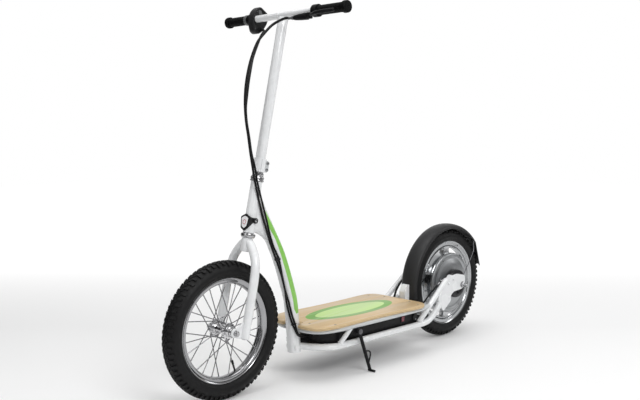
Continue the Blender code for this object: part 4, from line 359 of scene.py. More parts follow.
    def build(self, name, body, materials, replaces=(), angle=38.0, blend=None):
        mesh = bpy.data.meshes.new(name)
        mesh.from_pydata(self.verts, [], self.faces)
        form = bmesh.new()
        form.from_mesh(mesh)
        bmesh.ops.recalc_face_normals(form, faces=form.faces)
        form.to_mesh(mesh)
        form.free()
        materials = materials if isinstance(materials, (list, tuple)) else [materials]
        for entry in materials:
            mesh.materials.append(entry)
        mesh.polygons.foreach_set("material_index", self.slots)
        mesh.shade_smooth()
        mesh.set_sharp_from_angle(angle=math.radians(angle))
        piece = bpy.data.objects.new(name, mesh)
        bpy.context.scene.collection.objects.link(piece)
        if blend is None:
            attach(piece, body)
        else:
            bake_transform(piece)
        if replaces:
            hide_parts(*replaces)
            SOLID_LOOKS.setdefault(replaces[0], materials[0])


# Materials


class Finish:
    """Procedural material whose patterns stay fixed to the object."""

    def __init__(self, name):
        self.material = bpy.data.materials.new(name)
        self.material.use_nodes = True
        self.tree = self.material.node_tree
        self.shader = self.tree.nodes["Principled BSDF"]
        self.place = self.node("ShaderNodeTexCoord").outputs["Object"]

    def node(self, kind, **values):
        made = self.tree.nodes.new(kind)
        for key, value in values.items():
            setattr(made, key, value)
        return made

    def feed(self, socket, value):
        if isinstance(value, bpy.types.NodeSocket):
            self.tree.links.new(value, socket)
        elif isinstance(value, (tuple, list)) and len(value) == 3 and socket.type == "RGBA":
            socket.default_value = (*value, 1.0)
        else:
            socket.default_value = value

    def math(self, operation, *values):
        made = self.node("ShaderNodeMath", operation=operation)
        for socket, value in zip(made.inputs, values):
            self.feed(socket, value)
        return made.outputs[0]

    def mix(self, share, first, second, blend="MIX"):
        made = self.node("ShaderNodeMix", data_type="RGBA", blend_type=blend)
        self.feed(made.inputs["Factor"], share)
        self.feed(made.inputs["A"], first)
        self.feed(made.inputs["B"], second)
        return made.outputs["Result"]

    def span(self, value, low, high, start=0.0, end=1.0):
        made = self.node("ShaderNodeMapRange")
        for socket, item in zip(made.inputs, (value, low, high, start, end)):
            self.feed(socket, item)
        return made.outputs[0]

    def stretched(self, scale, offset=(0.0, 0.0, 0.0)):
        made = self.node("ShaderNodeMapping")
        self.feed(made.inputs["Vector"], self.place)
        made.inputs["Scale"].default_value = scale
        made.inputs["Location"].default_value = offset
        return made.outputs[0]

    def noise(self, scale, detail=3.0, place=None, rough=0.55):
        made = self.node("ShaderNodeTexNoise")
        self.feed(made.inputs["Vector"], place if place is not None else self.place)
        made.inputs["Scale"].default_value = scale
        made.inputs["Detail"].default_value = detail
        made.inputs["Roughness"].default_value = rough
        return made.outputs["Fac"]

    def cells(self, scale, place=None):
        made = self.node("ShaderNodeTexVoronoi")
        self.feed(made.inputs["Vector"], place if place is not None else self.place)
        made.inputs["Scale"].default_value = scale
        return made.outputs["Distance"]

    def parts(self):
        made = self.node("ShaderNodeSeparateXYZ")
        self.feed(made.inputs[0], self.place)
        return made.outputs

    def bump(self, height, strength, distance=0.001):
        made = self.node("ShaderNodeBump")
        made.inputs["Strength"].default_value = strength
        made.inputs["Distance"].default_value = distance
        self.feed(made.inputs["Height"], height)
        self.feed(self.shader.inputs["Normal"], made.outputs[0])

    def set(self, **values):
        for key, value in values.items():
            self.feed(self.shader.inputs[key.replace("_", " ")], value)
        return self


def shade(colour, amount):
    return tuple(max(0.0, min(1.0, part * amount)) for part in colour)


def surface(name, colour, rough, metal=0.0, vary=0.08, patch=18.0, grain=700.0, relief=0.08,
            coat=0.0, spread=0.08, specular=0.5):
    """Plain moulded, painted or plated finish with patches, grain and uneven gloss."""
    made = Finish(name)
    patches = made.noise(patch, 4.0)
    fine = made.noise(grain, 2.0)
    tone = made.mix(patches, shade(colour, 1.0 - vary), shade(colour, 1.0 + vary))
    made.set(Base_Color=tone, Metallic=metal, Coat_Weight=coat, Coat_Roughness=0.08,
             Specular_IOR_Level=specular)
    made.set(Roughness=made.span(made.noise(patch * 3.1, 3.0), 0.25, 0.75,
                                 max(rough - spread, 0.02), rough + spread))
    made.bump(fine, relief, 0.0004)
    return made.material


def brushed(name, colour, rough, stretch):
    """Metal with fine lines drawn out along one direction."""
    made = Finish(name)
    lines = made.noise(60.0, 4.0, made.stretched(stretch), 0.65)
    patches = made.noise(9.0, 3.0)
    tone = made.mix(lines, shade(colour, 0.9), shade(colour, 1.1))
    tone = made.mix(made.span(patches, 0.35, 0.7, 0.0, 0.35), tone, shade(colour, 0.82))
    made.set(Base_Color=tone, Metallic=1.0)
    made.set(Roughness=made.span(lines, 0.3, 0.7, rough * 0.75, rough * 1.3))
    made.bump(lines, 0.10, 0.0003)
    return made.material


def turned(name, colour, rough, centre, vary=0.08, relief=0.06):
    """Metal turned on a lathe about a wheel's axle: fine rings and soft patches."""
    made = Finish(name)
    x, y, z = made.parts()
    across = made.math("SUBTRACT", x, centre.x)
    above = made.math("SUBTRACT", z, centre.z)
    reach = made.math("SQRT", made.math("ADD", made.math("POWER", across, 2.0),
                                        made.math("POWER", above, 2.0)))
    spot = made.node("ShaderNodeCombineXYZ")
    made.feed(spot.inputs[0], reach)
    made.feed(spot.inputs[1], y)
    ring = made.noise(900.0, 2.0, spot.outputs[0])
    patches = made.noise(14.0, 3.0)
    tone = made.mix(ring, shade(colour, 1.0 - vary), shade(colour, 1.0 + vary))
    tone = made.mix(made.span(patches, 0.4, 0.75, 0.0, 0.3), tone, shade(colour, 0.8))
    made.set(Base_Color=tone, Metallic=1.0)
    made.set(Roughness=made.span(ring, 0.3, 0.7, rough * 0.7, rough * 1.4))
    made.bump(ring, relief, 0.0002)
    return made.material


def bamboo():
    """Varnished strips with their nodes, plies on the edge and the two-tone oval on top."""
    made = Finish("bamboo_deck")
    x, y, z = made.parts()
    strip = made.node("ShaderNodeTexWhiteNoise", noise_dimensions="1D")
    wander = made.math("MULTIPLY", made.noise(5.0, 2.0), 0.004)
    made.feed(strip.inputs["W"], made.math("FLOOR", made.math(
        "DIVIDE", made.math("ADD", y, wander), 0.0225)))
    fibre = made.noise(90.0, 5.0, made.stretched((0.06, 1.0, 1.0)), 0.7)
    broad = made.noise(7.0, 3.0, made.stretched((0.3, 1.0, 1.0)))
    tone = made.mix(fibre, (0.50, 0.345, 0.175), (0.66, 0.485, 0.275))
    tone = made.mix(made.span(strip.outputs["Value"], 0.0, 1.0, 0.0, 0.35), tone,
                    (0.58, 0.44, 0.25))
    tone = made.mix(made.span(broad, 0.3, 0.7, 0.0, 0.4), tone, (0.63, 0.48, 0.29))

    def oval(middle, half_length, half_width):
        along = made.math("POWER", made.math("DIVIDE", made.math("SUBTRACT", x, middle),
                                             half_length), 2.0)
        over = made.math("POWER", made.math("DIVIDE", y, half_width), 2.0)
        size = made.math("SQRT", made.math("ADD", along, over))
        return made.span(size, 0.995, 1.005, 1.0, 0.0)

    wear = made.span(fibre, 0.3, 0.8, 0.93, 1.0)
    outer = oval(*OVAL_OUTER)
    inner = oval(*OVAL_INNER)
    top = made.mix(made.math("MULTIPLY", outer, wear), tone, (0.150, 0.385, 0.058))
    top = made.mix(made.math("MULTIPLY", inner, wear), top, (0.51, 0.72, 0.25))
    ply = made.math("FRACT", made.math("DIVIDE", made.math("SUBTRACT", z, 0.173), 0.0037))
    edge = made.mix(made.span(ply, 0.45, 0.55, 0.0, 1.0), (0.74, 0.56, 0.31),
                    (0.34, 0.20, 0.085))
    edge = made.mix(made.math("MULTIPLY", fibre, 0.5), edge, (0.76, 0.60, 0.36))
    normal = made.node("ShaderNodeNewGeometry").outputs["Normal"]
    split = made.node("ShaderNodeSeparateXYZ")
    made.feed(split.inputs[0], normal)
    facing_up = made.span(split.outputs[2], 0.45, 0.75, 0.0, 1.0)
    made.set(Base_Color=made.mix(facing_up, edge, top), Coat_Weight=0.15, Coat_Roughness=0.25)
    made.set(Roughness=made.span(fibre, 0.2, 0.8, 0.34, 0.5))
    made.bump(fibre, 0.12, 0.0004)
    return made.material


OVAL_OUTER = (REAR_X + 0.5360, 0.2040, 0.0750)
OVAL_INNER = (REAR_X + 0.5340, 0.1660, 0.0520)

WHITE = surface("white_paint", (0.80, 0.81, 0.82), 0.26, vary=0.02, patch=6.0, grain=260.0,
                relief=0.02, coat=0.5, spread=0.05)
GREY_PAINT = surface("grey_paint", (0.56, 0.58, 0.59), 0.34, vary=0.04, coat=0.2)
BLACK_PAINT = surface("black_paint", (0.008, 0.008, 0.009), 0.42, vary=0.15, specular=0.14)
BLACK_PLASTIC = surface("black_plastic", (0.011, 0.011, 0.012), 0.46, vary=0.15, grain=1500.0,
                        relief=0.25, specular=0.22)
TRAY_PLASTIC = surface("tray_plastic", (0.008, 0.008, 0.009), 0.42, vary=0.2, grain=2200.0,
                       relief=0.3, specular=0.2)
GREY_PLASTIC = surface("grey_plastic", (0.015, 0.015, 0.016), 0.43, vary=0.12, grain=1400.0,
                       relief=0.2, specular=0.25)
FENDER_PLASTIC = surface("fender_plastic", (0.021, 0.021, 0.022), 0.46, vary=0.08, grain=1600.0,
                         relief=0.25, specular=0.3)
# Pale grey: the real collar of the throttle grip, and also the painted reflection patch on the
# throttle housing.
PALE_PLASTIC_AND_REFLECTION = surface("pale_plastic_and_painted_reflection", (0.095, 0.098, 0.10), 0.42, vary=0.06)
GRIP_RUBBER = surface("grip_rubber", (0.004, 0.004, 0.0043), 0.50, vary=0.2, grain=1800.0,
                      relief=0.4, specular=0.09)
TYRE_RUBBER = surface("tyre_rubber", (0.0068, 0.0068, 0.0071), 0.52, vary=0.22, patch=30.0,
                      grain=900.0, relief=0.35, spread=0.12, specular=0.22)
CABLE_JACKET = surface("cable_jacket", (0.006, 0.006, 0.0064), 0.44, vary=0.15, relief=0.05,
                       specular=0.18)
CAP_RUBBER = surface("cap_rubber", (0.014, 0.014, 0.015), 0.55, vary=0.1, grain=1500.0, relief=0.3)
RED_PLASTIC = surface("red_plastic", (0.21, 0.011, 0.032), 0.25, vary=0.1, coat=0.4)
PINK_RING = surface("pale_red_ring", (0.62, 0.20, 0.24), 0.35, vary=0.05)
BATTERY_WRAP = surface("battery_wrap", (0.03, 0.06, 0.16), 0.35, vary=0.2, patch=40.0)
BRAKE_DARK = surface("brake_dark", (0.020, 0.020, 0.022), 0.32, metal=0.4, vary=0.2)
BRIGHT_GREEN = surface("bright_green", (0.235, 0.56, 0.095), 0.32, vary=0.04, coat=0.3)
BRIGHT_STEEL = brushed("bright_steel", (0.46, 0.46, 0.47), 0.22, (1.0, 1.0, 6.0))
DARK_STEEL = brushed("dark_steel", (0.16, 0.16, 0.17), 0.38, (1.0, 6.0, 1.0))
BEARING_STEEL = brushed("bearing_steel", (0.58, 0.58, 0.60), 0.18, (6.0, 6.0, 1.0))
HEADSET_CHROME = brushed("headset_chrome", (0.46, 0.46, 0.47), 0.26, (1.0, 1.0, 8.0))
CASE_ALUMINIUM = brushed("case_aluminium", (0.55, 0.56, 0.57), 0.35, (1.0, 8.0, 8.0))
FRONT_RIM = turned("front_rim_metal", (0.36, 0.36, 0.37), 0.15, FRONT_AXLE)
REAR_RIM = turned("rear_rim_metal", (0.45, 0.46, 0.47), 0.15, REAR_AXLE)
MOTOR_SILVER = turned("motor_silver", (0.40, 0.41, 0.42), 0.40, REAR_AXLE, vary=0.05, relief=0.03)
ARM_SILVER = turned("arm_silver", (0.62, 0.63, 0.64), 0.32, REAR_AXLE, vary=0.05, relief=0.03)
STATOR = brushed("stator_windings", (0.30, 0.14, 0.06), 0.4, (1.0, 12.0, 1.0))
HUB_CHROME = turned("hub_chrome", (0.66, 0.66, 0.67), 0.18, FRONT_AXLE)
CARD_BLACK = surface("card_black", (0.004, 0.004, 0.004), 0.85, specular=0.05)
SPOKE_STEEL = brushed("spoke_steel", (0.24, 0.24, 0.25), 0.24, (3.0, 3.0, 3.0))


def lens():
    """White reflector face with its fine prisms."""
    made = Finish("white_lens")
    prisms = made.cells(420.0)
    tone = made.mix(made.span(prisms, 0.2, 0.6), (0.90, 0.90, 0.91), (0.97, 0.97, 0.98))
    made.set(Base_Color=tone, Coat_Weight=0.8, Coat_Roughness=0.05)
    made.set(Roughness=made.span(prisms, 0.1, 0.7, 0.12, 0.3))
    made.bump(prisms, 0.25, 0.0005)
    return made.material


LENS = lens()
BAMBOO = bamboo()


# Camera, lights, dark cards and floor


FOCAL_PIXELS = 817.35
IMAGE_PIXELS = 640.0
SENSOR_WIDTH = 36.0
CAMERA_PLACE = at(2.5783, 1.9078, 0.8157)
GAZE = (-0.7016, -0.7069, -0.0894)
GAZE_LEVEL = (-0.7045, -0.7097)
FLOOR_HALF = 9.0
LIGHT_TARGET = Vector((0.0, 0.0, 0.45))
LIGHTS = (  # Name, place, width and height, power
    ("key_light", (1.0, 3.0, 2.6), (1.6, 1.2), 55.0),
    ("front_light", (3.2, 0.2, 1.6), (0.5, 1.8), 8.0),
    ("rim_light", (-2.8, 1.6, 1.8), (0.5, 1.8), 12.0),
    ("top_light", (0.2, 0.2, 3.4), (2.2, 1.4), 34.0),
)
CARDS = (  # Seen only in the reflections: name, the foot's two ends and the height
    ("dark_card_front", (0.95, -1.45), (1.85, -0.35), 1.2),
    ("dark_card_rear", (-1.6, 0.85), (-1.9, 1.9), 0.5),
)


def staged(name, verts, faces, material, hidden=()):
    """Surface of the studio, which isn't part of the object."""
    mesh = bpy.data.meshes.new(name)
    mesh.from_pydata(verts, [], faces)
    mesh.materials.append(material)
    thing = bpy.data.objects.new(name, mesh)
    for rays in hidden:
        setattr(thing, "visible_" + rays, False)
    bpy.context.scene.collection.objects.link(thing)


def studio():
    scene = bpy.context.scene
    camera = bpy.data.objects.new("camera", bpy.data.cameras.new("camera"))
    scene.collection.objects.link(camera)
    look = Vector(GAZE).normalized()
    camera.data.sensor_width = SENSOR_WIDTH
    camera.data.lens = SENSOR_WIDTH * FOCAL_PIXELS / IMAGE_PIXELS
    camera.data.clip_start = 0.05
    across = look.cross(UP).normalized()
    camera.matrix_world = axes(CAMERA_PLACE, across, across.cross(look), -look)
    scene.camera = camera
    scene.view_settings.view_transform = "Standard"
    world = bpy.data.worlds.new("studio")
    scene.world = world
    world.use_nodes = True
    tree = world.node_tree
    back = tree.nodes["Background"]
    spot = tree.nodes.new("ShaderNodeTexCoord")
    part = tree.nodes.new("ShaderNodeSeparateXYZ")
    tree.links.new(spot.outputs["Generated"], part.inputs[0])

    def blend(value, low, high, start, end):
        made = tree.nodes.new("ShaderNodeMapRange")
        made.interpolation_type = "SMOOTHSTEP"
        tree.links.new(value, made.inputs[0])
        for socket, item in zip(list(made.inputs)[1:5], (low, high, start, end)):
            socket.default_value = item
        return made.outputs[0]

    def calc(operation, first, second):
        made = tree.nodes.new("ShaderNodeMath")
        made.operation = operation
        for socket, item in zip(made.inputs, (first, second)):
            if isinstance(item, bpy.types.NodeSocket):
                tree.links.new(item, socket)
            else:
                socket.default_value = item
        return made.outputs[0]

    behind = calc("ADD", calc("MULTIPLY", part.outputs[0], -GAZE[0]),
                  calc("MULTIPLY", part.outputs[1], -GAZE[1]))
    far = blend(behind, -0.90, -0.66, 1.0, 0.14)
    high = blend(part.outputs[2], 0.25, 0.85, 0.0, 0.55)
    level = calc("MINIMUM", calc("ADD", far, high), 1.0)
    tree.links.new(level, back.inputs["Strength"])
    back.inputs["Color"].default_value = (1.0, 1.0, 1.0, 1.0)

    for name, place, (wide, tall), power in LIGHTS:
        data = bpy.data.lights.new(name, "AREA")
        data.shape = "RECTANGLE"
        data.size, data.size_y = wide, tall
        data.energy = power
        lamp = bpy.data.objects.new(name, data)
        scene.collection.objects.link(lamp)
        lamp.matrix_world = facing(Vector(place), Vector(place) - LIGHT_TARGET)

    for name, start, end, tall in CARDS:
        upright = [Vector((*start, 0.0)), Vector((*end, 0.0)), Vector((*end, tall)),
                   Vector((*start, tall))]
        staged(name, upright, [(0, 1, 2, 3)], CARD_BLACK, ("camera", "diffuse", "shadow"))

    shape = Shape().loft([[(x, y, height) for x, y in corners(FLOOR_HALF, FLOOR_HALF)]
                          for height in (-0.0006, -0.01)])
    paper = Finish("floor_paper")
    x, y, z = paper.parts()
    ahead = paper.math("SUBTRACT", x, CAMERA_PLACE.x)
    aside = paper.math("SUBTRACT", y, CAMERA_PLACE.y)
    depth = paper.math("ADD", paper.math("MULTIPLY", ahead, GAZE_LEVEL[0]),
                       paper.math("MULTIPLY", aside, GAZE_LEVEL[1]))
    reach = paper.math("SQRT", paper.math("ADD", paper.math("POWER", ahead, 2.0),
                                          paper.math("POWER", aside, 2.0)))
    view = paper.span(paper.math("DIVIDE", depth, reach), 0.86, 0.92, 0.0, 1.0)
    away = paper.span(depth, 3.3, 4.6, 0.0, 1.0)
    glow = paper.math("MULTIPLY", view, away)
    paper.set(Base_Color=paper.mix(glow, (0.84, 0.84, 0.84), (0.02, 0.02, 0.02)),
              Roughness=0.9, Emission_Color=(1.0, 1.0, 1.0), Specular_IOR_Level=0.1,
              Emission_Strength=paper.math("ADD", 0.04, paper.math("MULTIPLY", glow, 0.95)))
    staged("floor", shape.verts, shape.faces, paper.material)


# Wheels


TYRE_TOP = [(0.2100, 0.0), (0.2096, 0.0060), (0.2084, 0.0115), (0.2052, 0.0182),
            (0.2000, 0.0232), (0.1935, 0.0268), (0.1880, 0.0284)]
TYRE_FLOOR = [(0.2082, 0.0), (0.2076, 0.0057), (0.2052, 0.0106), (0.2004, 0.0158),
              (0.1954, 0.0201), (0.1906, 0.0243), (0.1868, 0.0265)]
TYRE_WALL = [(0.1830, 0.0284), (0.1780, 0.0286), (0.1735, 0.0276), (0.1700, 0.0260),
             (0.1692, 0.0262), (0.1680, 0.0256), (0.1640, 0.0218), (0.1612, 0.0190),
             (0.1604, 0.0174), (0.1598, 0.0140)]
TREAD_PAIRS = 35


def on_curve(points, place):
    """Point on a line of (radius, y) at a counted place along it."""
    index = min(int(place), len(points) - 2)
    ends = [points[max(index - 1, 0)], points[index], points[index + 1],
            points[min(index + 2, len(points) - 1)]]
    return curve_point(*(Vector(point) for point in ends), place - index)


def knob(shape, axle, side, slim, angle, low, high, width, lean=0.0):
    """Tread block between two places of the tyre's section, standing on its casing."""
    steps = max(2, int((high - low) * 2.2) + 1)
    rings = []
    for i in range(steps + 1):
        t = i / steps
        place = low + (high - low) * t
        top = on_curve(TYRE_TOP, place)
        base = on_curve(TYRE_FLOOR, place)
        base = base + (base - top) * 0.3
        narrow = 1.0 if 0 < i < steps else 0.8
        row = []
        for ring_point, spread in ((base, -1.0), (top, -0.76), (top, 0.76), (base, 1.0)):
            turn = angle + lean * (t - 0.5) + spread * narrow * width / 2 / TYRE_RADIUS
            reach = ring_point.x
            row.append(axle + Vector((reach * math.cos(turn), side * ring_point.y * slim,
                                      reach * math.sin(turn))))
        rings.append(row)
    shape.loft(rings)


def make_tyre(node, axle, body, slim=1.0):
    outer = [tuple(on_curve(TYRE_FLOOR, i / 2)) for i in range(2 * len(TYRE_FLOOR) - 1)]
    outer += TYRE_WALL
    inner = [(0.1520, 0.0125), (0.1520, 0.0095), (0.1640, 0.0100), (0.1780, 0.0225),
             (0.1900, 0.0210), (0.2000, 0.0120), (0.2020, 0.0)]
    shape = Shape()
    outline = [(r, y * slim) for r, y in outer]
    mirrored = [(r, -y) for r, y in reversed(outline[1:])]
    bore = [(r, y * slim) for r, y in inner]
    bore_mirror = [(r, -y) for r, y in reversed(bore[:-1])]
    shape.lathe(mirrored + outline + bore + bore_mirror, axle, SIDE, 184)
    pitch = 2 * math.pi / (2 * TREAD_PAIRS)
    for i in range(2 * TREAD_PAIRS):
        for side in (-1, 1):
            angle = pitch * (i + (0.5 if side < 0 else 0.0))
            long = i % 2 == 0
            knob(shape, axle, side, slim, angle, 2.0, 4.4 if long else 3.7, 0.0108, 0.012)
            knob(shape, axle, side, slim, angle + pitch * 0.5, 1.10, 1.95, 0.0118, 0.007)
            knob(shape, axle, side, slim, angle + (0.0 if long else pitch * 0.15), 0.12, 1.0,
                 0.0140, 0.012)
    for side in (-1, 1):
        shape.ring(0.1745, 0.1757, side * 0.0271 * slim - 0.0006, side * 0.0271 * slim + 0.0006,
                   axle, SIDE, 184, 0.0003)
    shape.fine(node, body, TYRE_RUBBER, "tyre_rubber", 42)


RIM_SECTION = [(0.1500, 0.0122), (0.1560, 0.0126), (0.1590, 0.0140), (0.1600, 0.0158),
               (0.1594, 0.0172), (0.1576, 0.0176), (0.1558, 0.0166), (0.1542, 0.0152),
               (0.1500, 0.0146), (0.1470, 0.0147), (0.1455, 0.0140), (0.1435, 0.0112),
               (0.1412, 0.0070), (0.1399, 0.0030)]


def rim_loop(grow=0.0):
    return both_ways([(r + (grow if r > 0.152 else 0.0), y) for r, y in RIM_SECTION])


def make_front_rim():
    shape = Shape().lathe(rim_loop(), FRONT_AXLE, SIDE, 168)
    valve = ray(math.radians(252))
    shape.use(1)
    shape.bar(FRONT_AXLE + valve * 0.1405, FRONT_AXLE + valve * 0.1080, 0.0030, 16)
    shape.use(2)
    shape.bar(FRONT_AXLE + valve * 0.1180, FRONT_AXLE + valve * 0.1050, 0.0040, 16)
    shape.fine("front_rim", "front_wheel", [FRONT_RIM, CABLE_JACKET, BLACK_PLASTIC],
               "rim_aluminium")


SPOKES = 14
SPOKE_RADIUS = 0.00150
FLANGE_REACH = 0.0265
FLANGE_DIP = 0.0016
FLANGES = {1: 0.0250, -1: -0.0350}


def make_spokes():
    """Laced spokes with bent heads at the hub flanges and a nipple at the rim."""
    pitch = 2 * math.pi / SPOKES
    for side, word in SIDES:
        shape = Shape()
        flange = FLANGES[side]
        for i in range(SPOKES):
            lean = 1 if i % 2 == 0 else -1
            hub_angle = pitch * (i + 0.25 * side)
            rim_angle = hub_angle + lean * 2 * pitch
            out_hub = ray(hub_angle)
            out_rim = ray(rim_angle)
            y = flange + lean * 0.0026
            hole = FRONT_AXLE + out_hub * 0.0232
            end = FRONT_AXLE + out_rim * 0.1400 + SIDE * side * 0.0034
            start = hole + SIDE * y
            run = (end - start).normalized()
            head = hole + SIDE * (flange - lean * 0.0030)
            shape.use(0)
            shape.tube([head, hole + SIDE * (y - lean * 0.0012), start + run * 0.0014,
                        start + run * 0.0040, end - run * 0.010], SPOKE_RADIUS, 10)
            shape.bar(head - SIDE * lean * 0.0008, head, 0.0021, 12, 0.0003)
            shape.use(1)
            shape.tube([end - run * 0.0125, end - run * 0.0035, end + run * 0.0015],
                       [0.0017, 0.0021, 0.0024], 10)
        shape.use(2)
        outline = []
        for k in range(112):
            angle = 2 * math.pi * k / 112
            dip = 0.5 + 0.5 * math.cos(SPOKES * (angle - 0.25 * side * pitch))
            reach = FLANGE_REACH - FLANGE_DIP * (1 - dip)
            outline.append((reach * math.cos(angle), reach * math.sin(angle)))
        shape.plate(outline, 0.0032, axes(FRONT_AXLE + SIDE * flange, FORWARD, UP, -SIDE),
                    [arc((0.0, 0.0), 0.0125, 360, 0, 33)[:-1]], 0.0006)
        shape.fine("front_spokes_" + word, "front_wheel",
                   [SPOKE_STEEL, BRIGHT_STEEL, HUB_CHROME], "bright_steel", 45)


def make_front_hub():
    shape = Shape()
    half = 0.0470
    profile = both_ways([
        (0.0056, half), (0.0105, half), (0.0125, half - 0.0020), (0.0125, half - 0.0090),
        (0.0150, half - 0.0120), (0.0150, half - 0.0200), (0.0125, half - 0.0220),
        (0.0112, half - 0.0300),
    ])
    profile.insert(len(profile) // 2, (0.0108, 0.0))
    shape.lathe(profile, FRONT_AXLE, SIDE, 40)
    shape.fine("front_hub", "front_wheel", HUB_CHROME, "bright_aluminium")


def make_front_axle():
    shape = Shape()
    for side in (-1, 1):
        out = SIDE * side
        shape.disc(0.0075, 0.0475, 0.0528, FRONT_AXLE, out, 28)
        shape.nut(0.0098, 0.0510, 0.0542, FRONT_AXLE, out)
        shape.disc(0.0088, 0.0600, 0.0620, FRONT_AXLE, out, 32)
        shape.nut(0.0084, 0.0620, 0.0698, FRONT_AXLE, out, turn=0.35)
        shape.disc(0.0060, 0.0696, 0.0708, FRONT_AXLE, out, 28)
        shape.lathe([(0.0, 0.0736)] + [
            (0.0047 + (0.0003 if i % 2 else 0.0), 0.0736 - 0.0005 * i) for i in range(1, 8)
        ] + [(0.0050, 0.0690), (0.0050, 0.0), (0.0, 0.0)], FRONT_AXLE, out, 20, closed=False)
    shape.fine("front_axle", "steering", BRIGHT_STEEL, "bright_steel")


def make_rear_wheel():
    """Cast wheel: rim, six waisted arms and the motor's drum."""
    shape = Shape()
    shape.lathe(rim_loop(0.0030), REAR_AXLE, SIDE, 168)
    shape.lathe(both_ways([(0.1420, 0.0110), (0.1380, 0.0112), (0.1352, 0.0090)]), REAR_AXLE,
                SIDE, 168)
    for i in range(6):
        angle = math.radians(30.0 + 60.0 * i)
        out = ray(angle)
        along = out.cross(SIDE)
        rings = []
        for reach, width, depth in ((0.1120, 0.0190, 0.0135), (0.1180, 0.0160, 0.0125),
                                    (0.1290, 0.0148, 0.0118), (0.1350, 0.0160, 0.0122),
                                    (0.1385, 0.0190, 0.0125)):
            loop = rounded(corners(width, depth), 0.0035, 4)
            rings.append([REAR_AXLE + out * reach + along * u + SIDE * v for u, v in loop])
        shape.use(1)
        shape.loft(rings)
        shape.use(0)
    shape.lathe([
        (0.1150, 0.0235), (0.1160, 0.0225), (0.1160, -0.0290), (0.1130, -0.0330),
        (0.1020, -0.0420), (0.0400, -0.0460), (0.0110, -0.0460), (0.0085, -0.0440),
        (0.0085, -0.0390), (0.0960, -0.0360), (0.1095, -0.0240), (0.1095, 0.0235),
    ], REAR_AXLE, SIDE, 120)
    shape.fine("rear_wheel", "rear_wheel", [REAR_RIM, ARM_SILVER], "rim_aluminium", 32)


def make_motor_cover():
    shape = Shape()
    shape.lathe([
        (0.0085, 0.0452), (0.0300, 0.0452), (0.0560, 0.0440), (0.0760, 0.0408),
        (0.0880, 0.0362), (0.0935, 0.0330), (0.0960, 0.0322), (0.0985, 0.0330),
        (0.1010, 0.0352), (0.1040, 0.0358), (0.1090, 0.0350), (0.1130, 0.0330),
        (0.1157, 0.0290), (0.1160, 0.0264), (0.1040, 0.0264), (0.0920, 0.0290),
        (0.0600, 0.0380), (0.0085, 0.0400),
    ], REAR_AXLE, SIDE, 144)
    for i in range(6):
        angle = math.radians(60.0 * i)
        place = REAR_AXLE + ray(angle) * 0.1065
        shape.disc(0.0042, 0.0330, 0.0372, place, SIDE, 20)
        shape.nut(0.0030, 0.0370, 0.0386, place, SIDE)
    shape.fine("motor_cover", "rear_wheel", MOTOR_SILVER, "motor_cover_silver", 28)


def make_rear_axle():
    shape = Shape()
    shape.lathe([
        (0.0, 0.1120), (0.0062, 0.1120), (0.0070, 0.1110), (0.0070, 0.0817), (0.0110, 0.0817),
        (0.0110, 0.0683), (0.0070, 0.0683), (0.0070, -0.0463), (0.0110, -0.0463),
        (0.0110, -0.0817), (0.0070, -0.0817), (0.0070, -0.1110), (0.0062, -0.1120),
        (0.0, -0.1120),
    ], REAR_AXLE, SIDE, 28, closed=False)
    for side in (-1, 1):
        out = SIDE * side
        shape.disc(0.0118, 0.0873, 0.0893, REAR_AXLE, out, 36)
        shape.nut(0.0108, 0.0893, 0.0985, REAR_AXLE, out, turn=0.2)
    shape.fine("rear_axle", "frame", BRIGHT_STEEL, "bright_steel")


def make_brake():
    """Band brake: dark cover with a rolled edge and three rivets, and its arm."""
    shape = Shape()
    shape.lathe([
        (0.0073, 0.0680), (0.0180, 0.0680), (0.0200, 0.0664), (0.0330, 0.0660),
        (0.0360, 0.0676), (0.0480, 0.0676), (0.0520, 0.0660), (0.0538, 0.0630),
        (0.0540, 0.0540), (0.0516, 0.0540), (0.0516, 0.0620), (0.0480, 0.0650),
        (0.0073, 0.0652),
    ], REAR_AXLE, SIDE, 72)
    for i in range(3):
        angle = math.radians(35.0 + 120.0 * i)
        place = REAR_AXLE + ray(angle) * 0.0420
        shape.disc(0.0032, 0.0660, 0.0692, place, SIDE, 18)
    shape.fine("brake_cover", "frame", BRAKE_DARK, "dark_brake", 30)
    arm = Shape()
    root = (0.0480, 0.2080)
    tip = (0.1040, 0.2360)
    lean = math.degrees(math.atan2(tip[1] - root[1], tip[0] - root[0]))
    outline = arc(root, 0.0085, lean + 90.0, lean + 270.0, 14)
    outline += arc(tip, 0.0060, lean - 90.0, lean + 90.0, 12)
    arm.plate(outline, 0.0040, side_place(0.0703), edge=0.0007)
    arm.nut(0.0062, 0.0723, 0.0752, at(root[0], 0.0, root[1]), SIDE)
    arm.disc(0.0050, 0.0630, 0.0745, at(tip[0], 0.0, tip[1]), SIDE, 20)
    arm.nut(0.0048, 0.0745, 0.0765, at(tip[0], 0.0, tip[1]), SIDE)
    arm.fine("brake_arm", "arm", BRIGHT_STEEL, "bright_steel")


# Front end


def make_cup(node, profile):
    shape = Shape().lathe(profile, steer(0.0), STEER_UP, 64)
    shape.fine(node, "frame", HEADSET_CHROME, "bright_aluminium")


